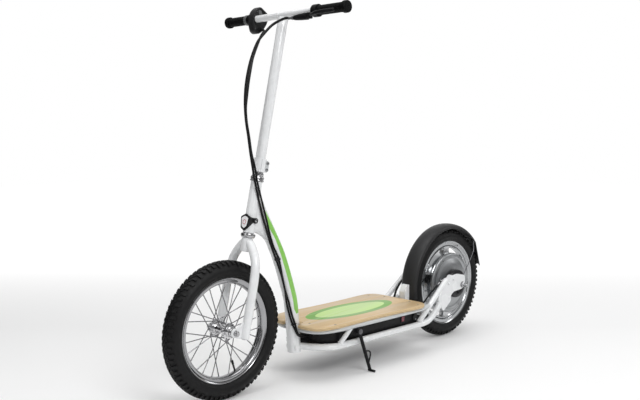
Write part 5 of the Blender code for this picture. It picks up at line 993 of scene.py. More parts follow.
def make_fork():
    """Crown, steerer and two tapering legs with their flat ends."""
    shape = Shape()
    shape.lathe([
        (0.0, -0.0120), (0.0143, -0.0120), (0.0143, -0.0100), (0.0168, -0.0100),
        (0.0175, -0.0108), (0.0175, -0.0480), (0.0150, -0.0520), (0.0, -0.0525),
    ], steer(0.0), STEER_UP, 48, closed=False)
    shape.lathe([
        (0.0123, -0.0110), (0.0123, 0.2900), (0.0143, 0.2900), (0.0143, -0.0110),
    ], steer(0.0), STEER_UP, 40)
    y = 0.0615  # Distance of a leg's straight part from the middle plane
    bends = [(-0.0220, 0.0070), (-0.0290, 0.0190), (-0.0400, 0.0290), (-0.0530, 0.0395),
             (-0.0680, y - 0.0130), (-0.0860, y - 0.0060), (-0.1060, y - 0.0025), (-0.1450, y),
             (-0.2000, y), (-0.2500, y), (-0.3040, y)]
    for side in (-1, 1):
        path = smooth([steer(up, side * out) for up, out in bends], 8)
        radii = []
        for point in path:
            down = (point - steer(0.0)).dot(-STEER_UP)
            narrow = max(0.0, (down - 0.2400) / 0.0700)
            radii.append(0.0136 * (1.0 - 0.06 * narrow))
        shape.tube(path, radii, 32)
        foot = path[-1]
        low = steer(-0.3095, side * y)
        shape.tube([foot, foot + (low - foot) * 0.6, low], [radii[-1], radii[-1] * 0.93, 0.0085],
                   32)
        fork_dropout(shape, side)
    shape.fine("fork", "steering", WHITE, "white_paint", 40)


def fork_dropout(shape, side):
    """Flat end of one fork leg, with the opening for the axle."""
    centre = (0.0, 0.0)
    outline = arc(centre, 0.0142, -78.0, 100.0, 22)
    outline += [(-0.0240, 0.0340), (-0.0320, 0.0420), (-0.0400, 0.0440)]
    outline += [(-0.0440, 0.0380), (-0.0440, -0.0060), (-0.0400, -0.0120), (-0.0200, -0.0150)]
    slot = arc(centre, 0.0054, -60.0, 240.0, 20)
    place = axes(FRONT_AXLE + SIDE * side * 0.0570, STEER_FORWARD, STEER_UP, -SIDE)
    shape.plate(outline, 0.0058, place, [slot], 0.0010)


def make_headset():
    make_cup("headset_lower_cup", [
        (0.0181, 0.0056), (0.0184, 0.0056), (0.0184, 0.0040), (0.0205, 0.0040),
        (0.0218, 0.0034), (0.0225, 0.0018), (0.0225, -0.0022), (0.0219, -0.0052),
        (0.0207, -0.0074), (0.0190, -0.0087), (0.0150, -0.0087), (0.0150, -0.0070),
        (0.0178, -0.0065), (0.0190, 0.0030), (0.0181, 0.0040),
    ])
    make_cup("headset_upper_cup", [
        (0.0181, 0.1655), (0.0200, 0.1655), (0.0215, 0.1662), (0.0215, 0.1690),
        (0.0208, 0.1704), (0.0198, 0.1712), (0.0198, 0.1726), (0.0212, 0.1736),
        (0.0212, 0.1780), (0.0196, 0.1802), (0.0150, 0.1803), (0.0150, 0.1790),
        (0.0180, 0.1770), (0.0190, 0.1700), (0.0181, 0.1690),
    ])
    shape = Shape()
    shape.lathe([
        (0.0150, 0.1807), (0.0184, 0.1807), (0.0188, 0.1815), (0.0188, 0.1825),
        (0.0184, 0.1832), (0.0150, 0.1832),
    ], steer(0.0), STEER_UP, 48)
    shape.nut(0.0188, 0.1832, 0.1912, steer(0.0), STEER_UP)
    shape.ring(0.0150, 0.0165, 0.1905, 0.1930, steer(0.0), STEER_UP, 48)
    shape.fine("headset_locknut", "steering", HEADSET_CHROME, "bright_aluminium")


def make_head_tube():
    shape = Shape().lathe([
        (0.0160, 0.0062), (0.0174, 0.0062), (0.0178, 0.0066), (0.0178, 0.1646),
        (0.0174, 0.1650), (0.0160, 0.1650),
    ], steer(0.0), STEER_UP, 56)
    shape.fine("head_tube", "frame", WHITE, "white_paint")


def make_stem():
    shape = Shape().lathe([
        (0.0146, 0.1940), (0.0156, 0.1940), (0.0158, 0.1943), (0.0158, 0.6740),
        (0.0150, 0.6790), (0.0125, 0.6812), (0.0060, 0.6815), (0.0060, 0.6790), (0.0146, 0.6730),
    ], steer(0.0), STEER_UP, 56)
    shape.fine("stem_tube", "steering", WHITE, "white_paint")


def make_clamp():
    """Collar with its slot turned to the left, and two bolted grey ears behind."""
    low, high = 0.1952, 0.2368
    inner, outer = 0.0161, 0.0187
    shape = Shape()
    slit = 4.0
    loop = arc((0.0, 0.0), outer, slit, 360.0 - slit, 72)
    loop += arc((0.0, 0.0), inner, 360.0 - slit, slit, 72)
    turn = math.radians(68.0)
    forward = STEER_FORWARD * math.cos(turn) + SIDE * math.sin(turn)
    sideways = SIDE * math.cos(turn) - STEER_FORWARD * math.sin(turn)
    middle = steer((low + high) / 2)
    shape.plate(loop, high - low, axes(middle, forward, sideways, STEER_UP), edge=0.0007)
    shape.ring(0.0170, 0.0194, low, low + 0.0030, steer(0.0), STEER_UP, 64)
    shape.ring(0.0170, 0.0194, high - 0.0030, high, steer(0.0), STEER_UP, 64)
    shape.use(1)
    for side in (-1, 1):
        outline = [(-0.0150, -0.0190), (-0.0150, 0.0190), (-0.0290, 0.0180), (-0.0340, 0.0130),
                   (-0.0340, -0.0130), (-0.0290, -0.0180)]
        shape.plate(rounded(outline, 0.004, 5), 0.0052,
                    axes(middle + SIDE * side * 0.0034, STEER_FORWARD, STEER_UP, -SIDE),
                    edge=0.0008)
    for up in (-0.0100, 0.0100):
        spot = middle + STEER_UP * up - STEER_FORWARD * 0.0262
        shape.use(2)
        shape.disc(0.0046, 0.0060, 0.0102, spot, SIDE, 24)
        shape.ring(0.0021, 0.0040, 0.0098, 0.0104, spot, SIDE, 24, 0.0002)
        shape.nut(0.0048, 0.0060, 0.0098, spot, -SIDE)
        shape.bar(spot - SIDE * 0.0124, spot + SIDE * 0.0060, 0.0025, 16)
    shape.fine("stem_clamp", "steering", [WHITE, GREY_PAINT, BRIGHT_STEEL], "white_paint", 40)


def make_handlebar():
    half = 0.2700
    middle = BAR_MIDDLE
    sleeve = [
        (0.0111, 0.0190), (0.0116, 0.0186), (0.0119, 0.0170), (0.0117, 0.0163), (0.0111, 0.0160),
    ]
    shape = Shape()
    for profile in (both_ways([(0.0093, half), (0.0105, half), (0.0111, half - 0.0006)]),
                    sleeve, [(r, -height) for r, height in reversed(sleeve)]):
        shape.lathe(profile, middle, SIDE, 48)
    shape.fine("handlebar", "steering", WHITE, "white_paint")


def grip_profile(start):
    """Ribbed sleeve with a rounded end flange, from its open end to its closed one."""
    end, radius, flange, flange_width, groove = 0.2743, 0.0148, 0.0182, 0.0140, 0.0009
    profile = [(radius * 0.93, start), (radius, start + 0.0008)]
    pitch = 0.0046
    here = start + 0.0060
    while here + pitch < end - flange_width - 0.002:
        profile += [
            (radius, here), (radius - groove, here + pitch * 0.14),
            (radius - groove, here + pitch * 0.30), (radius, here + pitch * 0.44),
        ]
        here += pitch
    profile += [
        (radius, end - flange_width - 0.0010), (flange * 0.985, end - flange_width),
        (flange, end - flange_width + 0.0014), (flange, end - 0.0036),
        (flange * 0.975, end - 0.0014), (flange * 0.90, end - 0.0003), (flange * 0.80, end),
        (0.0060, end), (0.0050, end - 0.0006), (0.0, end - 0.0006),
    ]
    return profile


def make_left_grip():
    profile = [(BAR_BORE, 0.1575)] + grip_profile(0.1575)
    profile.append((0.0, 0.2703))
    shape = Shape().lathe(profile, BAR_MIDDLE, SIDE, 72, closed=False)
    shape.fine("left_grip", "steering", GRIP_RUBBER, "dark_grip", 30)


def make_throttle_grip():
    middle = BAR_MIDDLE
    shape = Shape()
    shape.use(1)
    shape.lathe([
        (BAR_BORE, 0.1547), (0.0160, 0.1547), (0.0167, 0.1553), (0.0168, 0.1570),
        (0.0168, 0.1640), (0.0160, 0.1646), (BAR_BORE, 0.1646),
    ], middle, -SIDE, 72)
    shape.use(0)
    shape.lathe([
        (BAR_BORE, 0.1646), (0.0160, 0.1650), (0.0168, 0.1658), (0.0168, 0.1770),
        (0.0162, 0.1780), (BAR_BORE, 0.1780),
    ], middle, -SIDE, 72)
    shape.use(1)
    profile = [(BAR_BORE, 0.1776)] + grip_profile(0.1780)
    shape.lathe(profile, middle, -SIDE, 72, closed=False)
    shape.fine("throttle_grip", "throttle", [PALE_PLASTIC_AND_REFLECTION, GRIP_RUBBER], "dark_grip", 30)


THROTTLE_EDGE = [
    (-0.0145, 0.0420), (0.0060, 0.0290), (0.0165, 0.0090), (0.0175, -0.0170),
    (0.0110, -0.0415), (-0.0040, -0.0480), (-0.0210, -0.0380), (-0.0370, -0.0190),
    (-0.0470, 0.0000), (-0.0480, 0.0190),
]


def make_throttle_housing():
    """Housing round the bar: dished inner face, boss, screws, wire gland and a pale patch, which
    is a painted reflection on the inner face.
    """
    inner, outer = 0.1253, 0.1527
    bar = BAR_MIDDLE
    shape = Shape()
    outline = rounded(THROTTLE_EDGE, 0.010, 7)
    centre = (sum(x for x, z in THROTTLE_EDGE) / len(THROTTLE_EDGE),
              sum(z for x, z in THROTTLE_EDGE) / len(THROTTLE_EDGE))

    def scaled(share):
        return [(centre[0] + (x - centre[0]) * share, centre[1] + (z - centre[1]) * share)
                for x, z in outline]

    if area(outline) < 0:
        outline.reverse()
    rings = []
    for y, share in ((outer - 0.0030, 0.80), (outer, 0.92), (outer - 0.0010, 0.975),
                     (outer - 0.0030, 1.0), (inner + 0.0125, 1.0), (inner + 0.0122, 0.988),
                     (inner + 0.0110, 0.988), (inner + 0.0107, 1.0), (inner + 0.0026, 1.0),
                     (inner + 0.0007, 0.975), (inner, 0.945), (inner, 0.870),
                     (inner + 0.0008, 0.850), (inner + 0.0036, 0.830), (inner + 0.0038, 0.810),
                     (inner + 0.0034, 0.40)):
        rings.append([bar + Vector((x, -y, z)) for x, z in scaled(share)])
    shape.loft(rings)
    shape.ring(BAR_BORE, 0.0168, inner - 0.0003, inner + 0.0036, bar, -SIDE, 48)
    for x, z in ((0.0000, 0.0250), (-0.0380, 0.0150), (0.0070, -0.0310)):
        spot = bar + Vector((x, 0.0, z))
        shape.use(1)
        shape.disc(0.0030, -inner - 0.0036, -inner - 0.0014, spot, SIDE, 20)
    shape.use(0)
    gland = at_bar(-0.0150, -inner - 0.0036, -0.0300)
    shape.disc(0.0052, 0.0, 0.0042, gland, SIDE, 24)
    # Pale patch on the dished inner face: a painted reflection, not a separate part of the
    # housing.
    shape.use(2)
    patch = rounded([(-0.0235, 0.0120), (-0.0085, 0.0165), (-0.0065, 0.0305), (-0.0200, 0.0290)],
                    0.0035, 5)
    shape.plate(patch, 0.0016, axes(bar - SIDE * (inner + 0.0030), FORWARD, UP, -SIDE),
                edge=0.0003)
    shape.fine("throttle_housing", "steering", [GREY_PLASTIC, DARK_STEEL, PALE_PLASTIC_AND_REFLECTION],
               "grey_plastic", 32)


REFLECTOR_UP = 0.0370


def make_reflector():
    """Shield-shaped frame on a saddle with two screws, its white face and a pale red ring."""
    face = [(0.0, 0.0260), (0.0208, 0.0160), (0.0150, -0.0185), (0.0, -0.0265),
            (-0.0150, -0.0185), (-0.0208, 0.0160)]
    outline = rounded(face, 0.0030, 5)
    if area(outline) < 0:
        outline.reverse()
    front = 0.0222

    def ring_at(ahead, wide, tall, rise=0.0):
        place = axes(steer(REFLECTOR_UP + rise, 0.0, ahead), SIDE, STEER_UP, STEER_FORWARD)
        return [place @ Vector((x * wide, z * tall, 0.0)) for x, z in outline]

    shape = Shape().loft([ring_at(*row) for row in (
        (-0.0090, 1.02, 0.28, 0.0080), (-0.0084, 1.10, 0.33, 0.0080), (0.0020, 1.13, 0.42, 0.0078),
        (0.0100, 1.10, 0.66, 0.0035), (0.0170, 1.03, 0.93, 0.0006), (0.0188, 1.0, 1.0),
        (front - 0.0006, 1.0, 1.0), (front, 0.975, 0.98), (front, 0.86, 0.87),
        (front - 0.0005, 0.85, 0.86), (front - 0.0005, 0.40, 0.40),
    )])
    for side in (-1, 1):
        spot = steer(REFLECTOR_UP + 0.0080, 0.0, -0.001)
        shape.use(0)
        shape.disc(0.0086, 0.0190, 0.0256, spot, SIDE * side, 32, 0.0010)
        shape.use(1)
        shape.disc(0.0042, 0.0252, 0.0259, spot, SIDE * side, 24)
    shape.fine("front_reflector_housing", "frame", [BLACK_PLASTIC, BRIGHT_STEEL], "black_plastic",
               32)
    inner = rounded([(0.0, 0.0188), (0.0152, 0.0122), (0.0104, -0.0132), (0.0, -0.0192),
                     (-0.0104, -0.0132), (-0.0152, 0.0122)], 0.0026, 5)
    place = axes(steer(REFLECTOR_UP, 0.0, front + 0.0002), SIDE, STEER_UP, STEER_FORWARD)
    inset_face = Shape().plate(inner, 0.0014, place, edge=0.0004)
    inset_face.use(1)
    inset_face.ring(0.0056, 0.0076, 0.0, 0.0005, steer(REFLECTOR_UP, 0.0, front + 0.0007),
                    STEER_FORWARD, 40, 0.0001)
    inset_face.fine("front_reflector_lens", "frame", [LENS, PINK_RING], "white_lens")


# Frame


RAIL_Y = 0.1075  # Distances of the rails from the middle plane
DECK_RAIL_Y = 0.1235
DECK_TOP = 0.1840
DECK_BOTTOM = 0.1730
DECK_RAIL_HEIGHT = 0.1657
PLATE_INNER_Y = 0.0820
PLATE_OUTER_Y = 0.0870
TRAY_BOTTOM = 0.0980
TRAY_HALF_WIDTH = 0.0949

DOWN_TUBE_PATH = [
    (0.8035, 0.0880), (0.8060, 0.1300), (0.8090, 0.1700), (0.8130, 0.2100), (0.8195, 0.2600),
    (0.8340, 0.3100), (0.8510, 0.3610), (0.8710, 0.4120), (0.8870, 0.4450),
]
DOWN_TUBE_RADIUS = 0.02225
HEAD_END_HALF_WIDTH = 0.0166
RAIL_RADIUS = 0.0110
DECK_RAIL_RADIUS = 0.0070
STAY_RADIUS = 0.0095
STRUT_RADIUS = 0.0080
RAIL_HEIGHT = 0.1065
RAIL_PATH = [
    (0.7950, 0.0080, RAIL_HEIGHT), (0.7870, 0.0230, RAIL_HEIGHT), (0.7780, 0.0410, RAIL_HEIGHT),
    (0.7660, 0.0610, RAIL_HEIGHT), (0.7500, 0.0805, RAIL_HEIGHT), (0.7300, 0.0957, RAIL_HEIGHT),
    (0.7065, 0.1050, RAIL_HEIGHT), (0.6820, RAIL_Y, RAIL_HEIGHT), (0.6000, RAIL_Y, RAIL_HEIGHT),
    (0.3500, RAIL_Y, RAIL_HEIGHT), (0.2900, RAIL_Y, RAIL_HEIGHT), (0.2650, 0.1068, 0.1070),
    (0.2350, 0.1045, 0.1100), (0.2100, 0.1010, 0.1180), (0.1860, 0.0983, 0.1310),
    (0.1560, 0.0983, 0.1600),
]
DECK_RAIL_PATH = [
    (0.8090, 0.0080), (0.8090, 0.0400), (0.8060, 0.0600), (0.8000, 0.0780), (0.7890, 0.0940),
    (0.7720, 0.1070), (0.7480, 0.1160), (0.7150, 0.1215), (0.6800, DECK_RAIL_Y),
    (0.5500, DECK_RAIL_Y), (0.4000, DECK_RAIL_Y), (0.3300, DECK_RAIL_Y), (0.2950, 0.1205),
    (0.2620, 0.1130), (0.2280, 0.1030),
]
DECK_OUTLINE = [
    (0.8200, 0.0700), (0.8125, 0.0980), (0.7950, 0.1165), (0.7640, 0.1275),
    (0.7200, 0.1318), (0.6500, 0.1300), (0.5600, 0.1285), (0.4500, 0.1315), (0.3450, 0.1380),
    (0.3000, 0.1350), (0.2760, 0.1180), (0.2680, 0.0900),
]


def quadratic(start, bend, end, t):
    return start * (1 - t) ** 2 + bend * 2 * t * (1 - t) + end * t ** 2


def down_tube_sections(grow=0.0):
    """Sections of the down tube: round from its foot, then flaring to the head tube."""
    path = smooth([at(x, 0.0, z) for x, z in DOWN_TUBE_PATH], 6)
    count = 56
    rows = []
    for i, centre in enumerate(path):
        along = (path[min(i + 1, len(path) - 1)] - path[max(i - 1, 0)]).normalized()
        if i == 0:
            along = UP.copy()
        across = SIDE.cross(along).normalized()
        radius = DOWN_TUBE_RADIUS + grow
        rows.append(ellipse(centre, across * radius, SIDE * radius, count))
    rear = [at(0.8664, 0.0, 0.4535), at(0.9150, 0.0, 0.5450), steer(0.1540)]
    front = [at(0.9076, 0.0, 0.4365), at(0.9260, 0.0, 0.4830), steer(0.0110)]
    for i in range(1, 29):
        t = i / 28
        back = quadratic(*rear, t)
        nose = quadratic(*front, t)
        half_width = DOWN_TUBE_RADIUS * (1 - t) + HEAD_END_HALF_WIDTH * t + grow
        reach = (nose - back) / 2
        reach += reach.normalized() * grow
        rows.append(ellipse((back + nose) / 2, reach, SIDE * half_width, count))
    return rows


def make_down_tube():
    """Tube with an open foot and its green stripe, a thin skin over the paint."""
    shape = Shape()
    outer = down_tube_sections()
    inner = [[point + (centre - point) * 0.09 for point in row]
             for row, centre in ((row, sum(row, Vector()) / len(row)) for row in outer[:14])]
    shape.loft(outer, caps=False)
    shape.loft(inner, caps=False)
    shape.loft([outer[0], inner[0]], caps=False)
    shape.add(inner[-1], [tuple(range(len(outer[0])))])
    rows = down_tube_sections(0.0004)[19:-6]
    verts = []
    for j, row in enumerate(rows):
        taper = min(1.0, (len(rows) - 1 - j) / 7, (j + 4) / 6)
        edge = 11.2 + 1.8 * max(0.0, min(1.0, (j - 20) / 14))
        for k in range(9):
            place = 19.0 - (19.0 - edge) * taper * (1 - k / 8)
            low = int(place)
            verts.append(row[low].lerp(row[low + 1], place - low))
    shape.use(1)
    shape.add(verts, [(j * 9 + k, j * 9 + k + 1, j * 9 + k + 10, j * 9 + k + 9)
                      for j in range(len(rows) - 1) for k in range(8)])
    shape.fine("down_tube", "frame", [WHITE, BRIGHT_GREEN], "white_paint", 50)


def weld(shape, centre, normal, radius, seat, thick=0.0022, wave=26):
    """Bead of weld round a tube's end, laid in small overlapping ripples."""
    normal = normal.normalized()
    guide = UP if abs(normal.z) < 0.9 else FORWARD
    first = (guide - normal * guide.dot(normal)).normalized()
    other = normal.cross(first)
    points = []
    radii = []
    for k in range(wave * 4):
        angle = 2 * math.pi * k / (wave * 4)
        points.append(centre + (first * math.cos(angle) + other * math.sin(angle)) * radius
                      + normal * seat)
        radii.append(thick * (0.86 + 0.14 * math.cos(angle * wave)))
    shape.tube(points, radii, 10, loop=True)


def make_rails():
    for side, word in SIDES:
        shape = Shape()
        path = smooth([at(x, side * y, z) for x, y, z in RAIL_PATH], 7)
        shape.tube(path[4:], RAIL_RADIUS, 28)
        weld(shape, at(0.8062, side * 0.0185, RAIL_HEIGHT), SIDE * side, 0.0112, 0.001)
        shape.fine_side("lower_rail", word, WHITE)
        shape = Shape()
        path = smooth([at(x, side * y, DECK_RAIL_HEIGHT) for x, y in DECK_RAIL_PATH], 7)
        shape.tube(path[5:], DECK_RAIL_RADIUS, 24)
        shape.fine_side("deck_rail", word, GREY_PAINT)
        shape = Shape()
        top = at(0.1145, side * (PLATE_OUTER_Y + 0.0098), 0.2465)
        bottom = at(0.2930, side * RAIL_Y, 0.1125)
        run = (top - bottom).normalized()
        dome = [(top - run * 0.004, STAY_RADIUS), (top - run * 0.0015, 0.0090), (top, 0.0078),
                (top + run * 0.0006, 0.0050)]
        points = [bottom + run * 0.002, bottom + run * 0.012] + [p for p, r in dome]
        radii = [STAY_RADIUS, STAY_RADIUS] + [r for p, r in dome]
        shape.tube(points, radii, 28)
        weld(shape, at(0.2850, side * RAIL_Y, 0.1168), run, 0.0098, 0.0)
        shape.fine_side("rear_stay", word, WHITE)
        shape = Shape()
        high = at(0.6600, side * (DECK_RAIL_Y - 0.0050), DECK_RAIL_HEIGHT - 0.004)
        low = at(0.7030, side * RAIL_Y, 0.1110)
        shape.tube([low, (low + high) / 2, high], STRUT_RADIUS, 24)
        weld(shape, low + (high - low).normalized() * 0.006, high - low, 0.0082, 0.0, 0.0018, 20)
        shape.fine_side("front_strut", word, WHITE)


def make_crossmember():
    shape = Shape()
    height = 0.1405
    shape.tube([at(0.2500, -0.0950, height), at(0.2500, 0.0, height), at(0.2500, 0.0950, height)],
               0.0100, 28)
    for side in (-1, 1):
        weld(shape, at(0.2500, side * 0.0935, height), SIDE * side, 0.0102, 0.0, 0.0018, 20)
    shape.fine("rear_crossmember", "frame", WHITE, "white_paint", 50)


PLATE_EDGE = [
    (0.1160, 0.1230), (0.1480, 0.1660), (0.1460, 0.1760), (0.1040, 0.2390), (0.0860, 0.2600),
    (0.0560, 0.2520), (0.0340, 0.2560), (-0.0170, 0.2450), (-0.0210, 0.2270), (-0.0190, 0.2040),
    (-0.0020, 0.1930), (0.0500, 0.1900), (0.0710, 0.1770), (0.0690, 0.1570),
]


def make_dropouts():
    outline = rounded(PLATE_EDGE, 0.009, 6)
    for side, word in SIDES:
        shape = Shape()
        middle = side * (PLATE_INNER_Y + PLATE_OUTER_Y) / 2
        hole = arc((0.0, TYRE_RADIUS), 0.0073, 0.0, 360.0, 33)[:-1]
        shape.plate(outline, 0.0050, side_place(middle), [hole], 0.0009)
        for x, z in ((0.0560, 0.2380), (0.0860, 0.2260)):
            spot = at(x, 0.0, z)
            shape.disc(0.0062, PLATE_OUTER_Y, PLATE_OUTER_Y + 0.0008, spot, SIDE * side, 24)
            shape.nut(0.0052, PLATE_OUTER_Y + 0.0008, PLATE_OUTER_Y + 0.0042, spot, SIDE * side)
        shape.fine_side("dropout_plate", word, WHITE, 40)


STAND_PIN = (0.6375, 0.1345, 0.1485)


def make_stand_bracket():
    x, y, height = STAND_PIN
    inner = y - 0.0065 - GAP
    outline = rounded([(x - 0.0210, 0.1584), (x - 0.0126, 0.1390), (x + 0.0126, 0.1390),
                       (x + 0.0210, 0.1584)], 0.0045, 6)
    shape = Shape().plate(outline, 0.0043, side_place(inner - 0.00225), edge=0.0007)
    shape.block((0.0330, inner - 0.1195, 0.0040),
                Matrix.Translation(at(x, (inner + 0.1195) / 2, 0.1564)), 0.0008)
    shape.use(1)
    place = at(x, 0.0, height)
    shape.disc(0.0040, inner - 0.001, y + 0.0068, place, SIDE, 24)
    shape.disc(0.0092, y + 0.0066, y + 0.0073, place, SIDE, 32)
    shape.nut(0.0064, y + 0.0073, y + 0.0092, place, SIDE)
    shape.fine("stand_bracket", "frame", [BLACK_PAINT, DARK_STEEL], "black_paint", 40)


def make_stand():
    """Leg on its boss with a foot peg and a toe loop."""
    top = at(*STAND_PIN)
    foot = at(0.5740, 0.1265, 0.0040)
    along = (foot - top).normalized()
    rearward = Vector((along.z, 0.0, -along.x))
    length = (foot - top).length
    shape = Shape()
    shape.lathe(both_ways([(0.0042, 0.0064), (0.0085, 0.0064), (0.0095, 0.0056)]), top, SIDE, 40)
    shape.tube([top + along * 0.007, top + along * length * 0.5, foot - along * 0.001],
               [0.0060, 0.0059, 0.0056], 28)
    peg = [foot - SIDE * 0.0070, foot + SIDE * 0.0002, foot + SIDE * 0.0208]
    shape.tube(peg, 0.0040, 24)
    outward = SIDE * 0.0030
    loop = smooth([
        top + along * length * 0.50 + outward,
        top + along * length * 0.56 + outward + rearward * 0.0143,
        top + along * length * 0.62 + outward + rearward * 0.0190,
        top + along * length * 0.70 + outward + rearward * 0.0143,
        top + along * length * 0.80 + outward,
    ], 6)
    shape.tube(loop, 0.0026, 18)
    shape.fine("side_stand", "stand", BLACK_PAINT, "black_paint", 45)


# Deck, tray, switch and port


def deck_loop():
    half = [tuple(point) for point in smooth([Vector((x, y)) for x, y in DECK_OUTLINE], 8)]
    right = [(x, -y) for x, y in reversed(half)]
    rear = 0.8090 - DOWN_TUBE_RADIUS - 0.004
    notch = 0.0360
    bay = rounded([(0.8200, -notch), (rear, -notch * 0.75), (rear, notch * 0.75),
                   (0.8200, notch)], 0.016, 9)[9:27]
    return half + right + [(0.8200, -notch)] + bay + [(0.8200, notch)]


def make_deck():
    """Bevelled board with its countersunk screws."""
    shape = Shape()
    loop = deck_loop()
    if area(loop) < 0:
        loop.reverse()
    screws = []
    for side in (-1, 1):
        screws += [(0.7980, side * 0.0255), (0.7760, side * 0.0440), (0.7310, side * 0.1160),
                   (0.3100, side * 0.1180), (0.2860, side * 0.0600)]
    holes = [arc(spot, 0.0042, 360.0, 0.0, 17)[:-1] for spot in screws]
    shape.plate(loop, DECK_TOP - DECK_BOTTOM, Matrix.Translation(at(0.0, 0.0, 0.1785)), holes,
                0.0016)
    shape.fine("deck_board", "frame", BAMBOO, "bamboo_deck", 50)
    shape = Shape()
    for x, y in screws:
        spot = at(x, y, 0.0)
        shape.lathe([
            (0.0, DECK_TOP - 0.0012), (0.0012, DECK_TOP - 0.0012), (0.0016, DECK_TOP - 0.0003),
            (0.0036, DECK_TOP - 0.0003), (0.0041, DECK_TOP - 0.0007), (0.0041, DECK_TOP - 0.0030),
            (0.0018, DECK_TOP - 0.0055), (0.0, DECK_TOP - 0.0055),
        ], spot, UP, 24, closed=False)
    shape.build("deck_screws", "frame", DARK_STEEL)


def tray_loop(inset_by):
    steps = 14
    front = 0.7640 - inset_by
    rear = 0.2816 + inset_by
    half = TRAY_HALF_WIDTH - inset_by
    corner = 0.0820 - inset_by
    back = 0.0060
    points = arc((front - corner, half - corner), corner, 90.0, 0.0, steps)
    points += arc((front - corner, corner - half), corner, 0.0, -90.0, steps)
    points += arc((rear + back, back - half), back, -90.0, -180.0, 6)
    points += arc((rear + back, half - back), back, 180.0, 90.0, 6)
    return list(reversed(points))


def make_tray():
    """Moulded tray with an eased lower edge and a shallow groove round its wall."""
    shape = Shape()
    top = DECK_BOTTOM - GAP
    levels = [(TRAY_BOTTOM, 0.0048), (TRAY_BOTTOM + 0.0008, 0.0022),
              (TRAY_BOTTOM + 0.0024, 0.0006),
              (TRAY_BOTTOM + 0.0048, 0.0), (0.1215, 0.0), (0.1218, 0.0005), (0.1226, 0.0005),
              (0.1229, 0.0), (top - 0.0006, 0.0), (top, 0.0006)]
    rings = [[at(x, y, z) for x, y in tray_loop(amount)] for z, amount in levels]
    inner = [[at(x, y, z) for x, y in tray_loop(amount)] for z, amount in (
        (top, 0.0022), (top - 0.001, 0.0025), (TRAY_BOTTOM + 0.0050, 0.0025),
        (TRAY_BOTTOM + 0.0025, 0.0050),
    )]
    shape.loft(rings + inner)
    shape.fine("battery_tray", "frame", TRAY_PLASTIC, "black_tray", 35)


def make_switch():
    x, z = 0.3664, 0.1382
    wall = TRAY_HALF_WIDTH
    shape = Shape()
    place = axes(at(x, wall + 0.0010, z), FORWARD, UP, -SIDE)
    shape.plate(rounded(corners(0.0117, 0.0157), 0.0022, 5), 0.0016, place,
                [rounded(corners(0.0073, 0.0113), 0.0008, 4)], 0.0004)
    shape.block((0.0186, 0.0010, 0.0266), Matrix.Translation(at(x, wall - 0.0110, z)), 0.0002)
    for size, spot in (((0.0020, 0.0110, 0.0266), (x - 0.0083, wall - 0.0055, z)),
                       ((0.0020, 0.0110, 0.0266), (x + 0.0083, wall - 0.0055, z)),
                       ((0.0186, 0.0110, 0.0020), (x, wall - 0.0055, z + 0.0123)),
                       ((0.0186, 0.0110, 0.0020), (x, wall - 0.0055, z - 0.0123))):
        shape.block(size, Matrix.Translation(at(*spot)), 0.0002)
    shape.fine("power_switch_bezel", "frame", BLACK_PLASTIC, "black_plastic", 35)
    rocker = Shape()
    tilt = math.radians(-7.0)
    turn = Matrix.Translation(at(x, wall - 0.0010, z)) @ Matrix.Rotation(tilt, 4, "X")
    face = [(-0.0101, -0.0028), (-0.0101, 0.0030), (-0.0092, 0.0040), (-0.0050, 0.0032),
            (0.0, 0.0026), (0.0050, 0.0030), (0.0092, 0.0038), (0.0101, 0.0028),
            (0.0101, -0.0028)]
    rows = []
    for u, amount in ((-0.0068, 0.0005), (-0.0064, 0.0), (0.0064, 0.0), (0.0068, 0.0005)):
        rows.append([turn @ Vector((u, v - (amount if v > 0 else 0.0), w))
                     for w, v in face])
    rocker.loft(rows)
    rocker.fine("power_rocker", "rocker", RED_PLASTIC, "red_plastic", 35)


def make_port():
    x, z = 0.3010, 0.1340
    wall = TRAY_HALF_WIDTH
    face = wall + GAP + 0.0015
    shape = Shape()
    shape.lathe([
        (0.0, wall - 0.0160), (0.0090, wall - 0.0160), (0.0090, face - 0.0005),
        (0.0095, face), (0.0126, face), (0.0132, face - 0.0006), (0.0132, wall + GAP),
        (0.0110, wall + GAP), (0.0110, wall - 0.0180), (0.0, wall - 0.0180),
    ], at(x, 0.0, z), SIDE, 48, closed=False)
    shape.use(1)
    for turn in range(3):
        angle = math.radians(90.0 + 120.0 * turn)
        spot = at(x + 0.0042 * math.cos(angle), 0.0, z + 0.0042 * math.sin(angle))
        shape.disc(0.0011, wall - 0.0162, wall - 0.0070, spot, SIDE, 14)
    shape.fine("charge_port", "frame", [BLACK_PLASTIC, BRIGHT_STEEL], "black_plastic", 35)
    low = face + GAP
    cap = Shape()
    cap.lathe([
        (0.0, low + 0.0030), (0.0085, low + 0.0030), (0.0095, low + 0.0024),
        (0.0108, low + 0.0026), (0.0118, low + 0.0020), (0.0120, low + 0.0008), (0.0116, low),
        (0.0084, low), (0.0084, low - 0.0020), (0.0, low - 0.0020),
    ], at(x, 0.0, z), SIDE, 48, closed=False)
    hinge = z + 0.0120 + 0.0005
    cap.bar(at(x - 0.0050, low + 0.0015, hinge), at(x + 0.0050, low + 0.0015, hinge), 0.0013, 20)
    cap.block((0.0080, 0.0018, 0.0040), Matrix.Translation(at(x, low + 0.0013, hinge - 0.0022)),
              0.0004)
    # Small white disc on the cap: a painted highlight, not a part of the cap.
    cap.use(1)
    cap.disc(0.0020, low + 0.0022, low + 0.0033, at(x - 0.0020, 0.0, z - 0.0075), SIDE, 20)
    cap.fine("charge_port_cap", "port_cap", [CAP_RUBBER, WHITE], "grey_rubber", 35)


# Brake lever, mudguard and cables


LEVER_AHEAD = 0.0300
LEVER_DROP = 0.0175
LEVER_PIVOT_Y = 0.1480


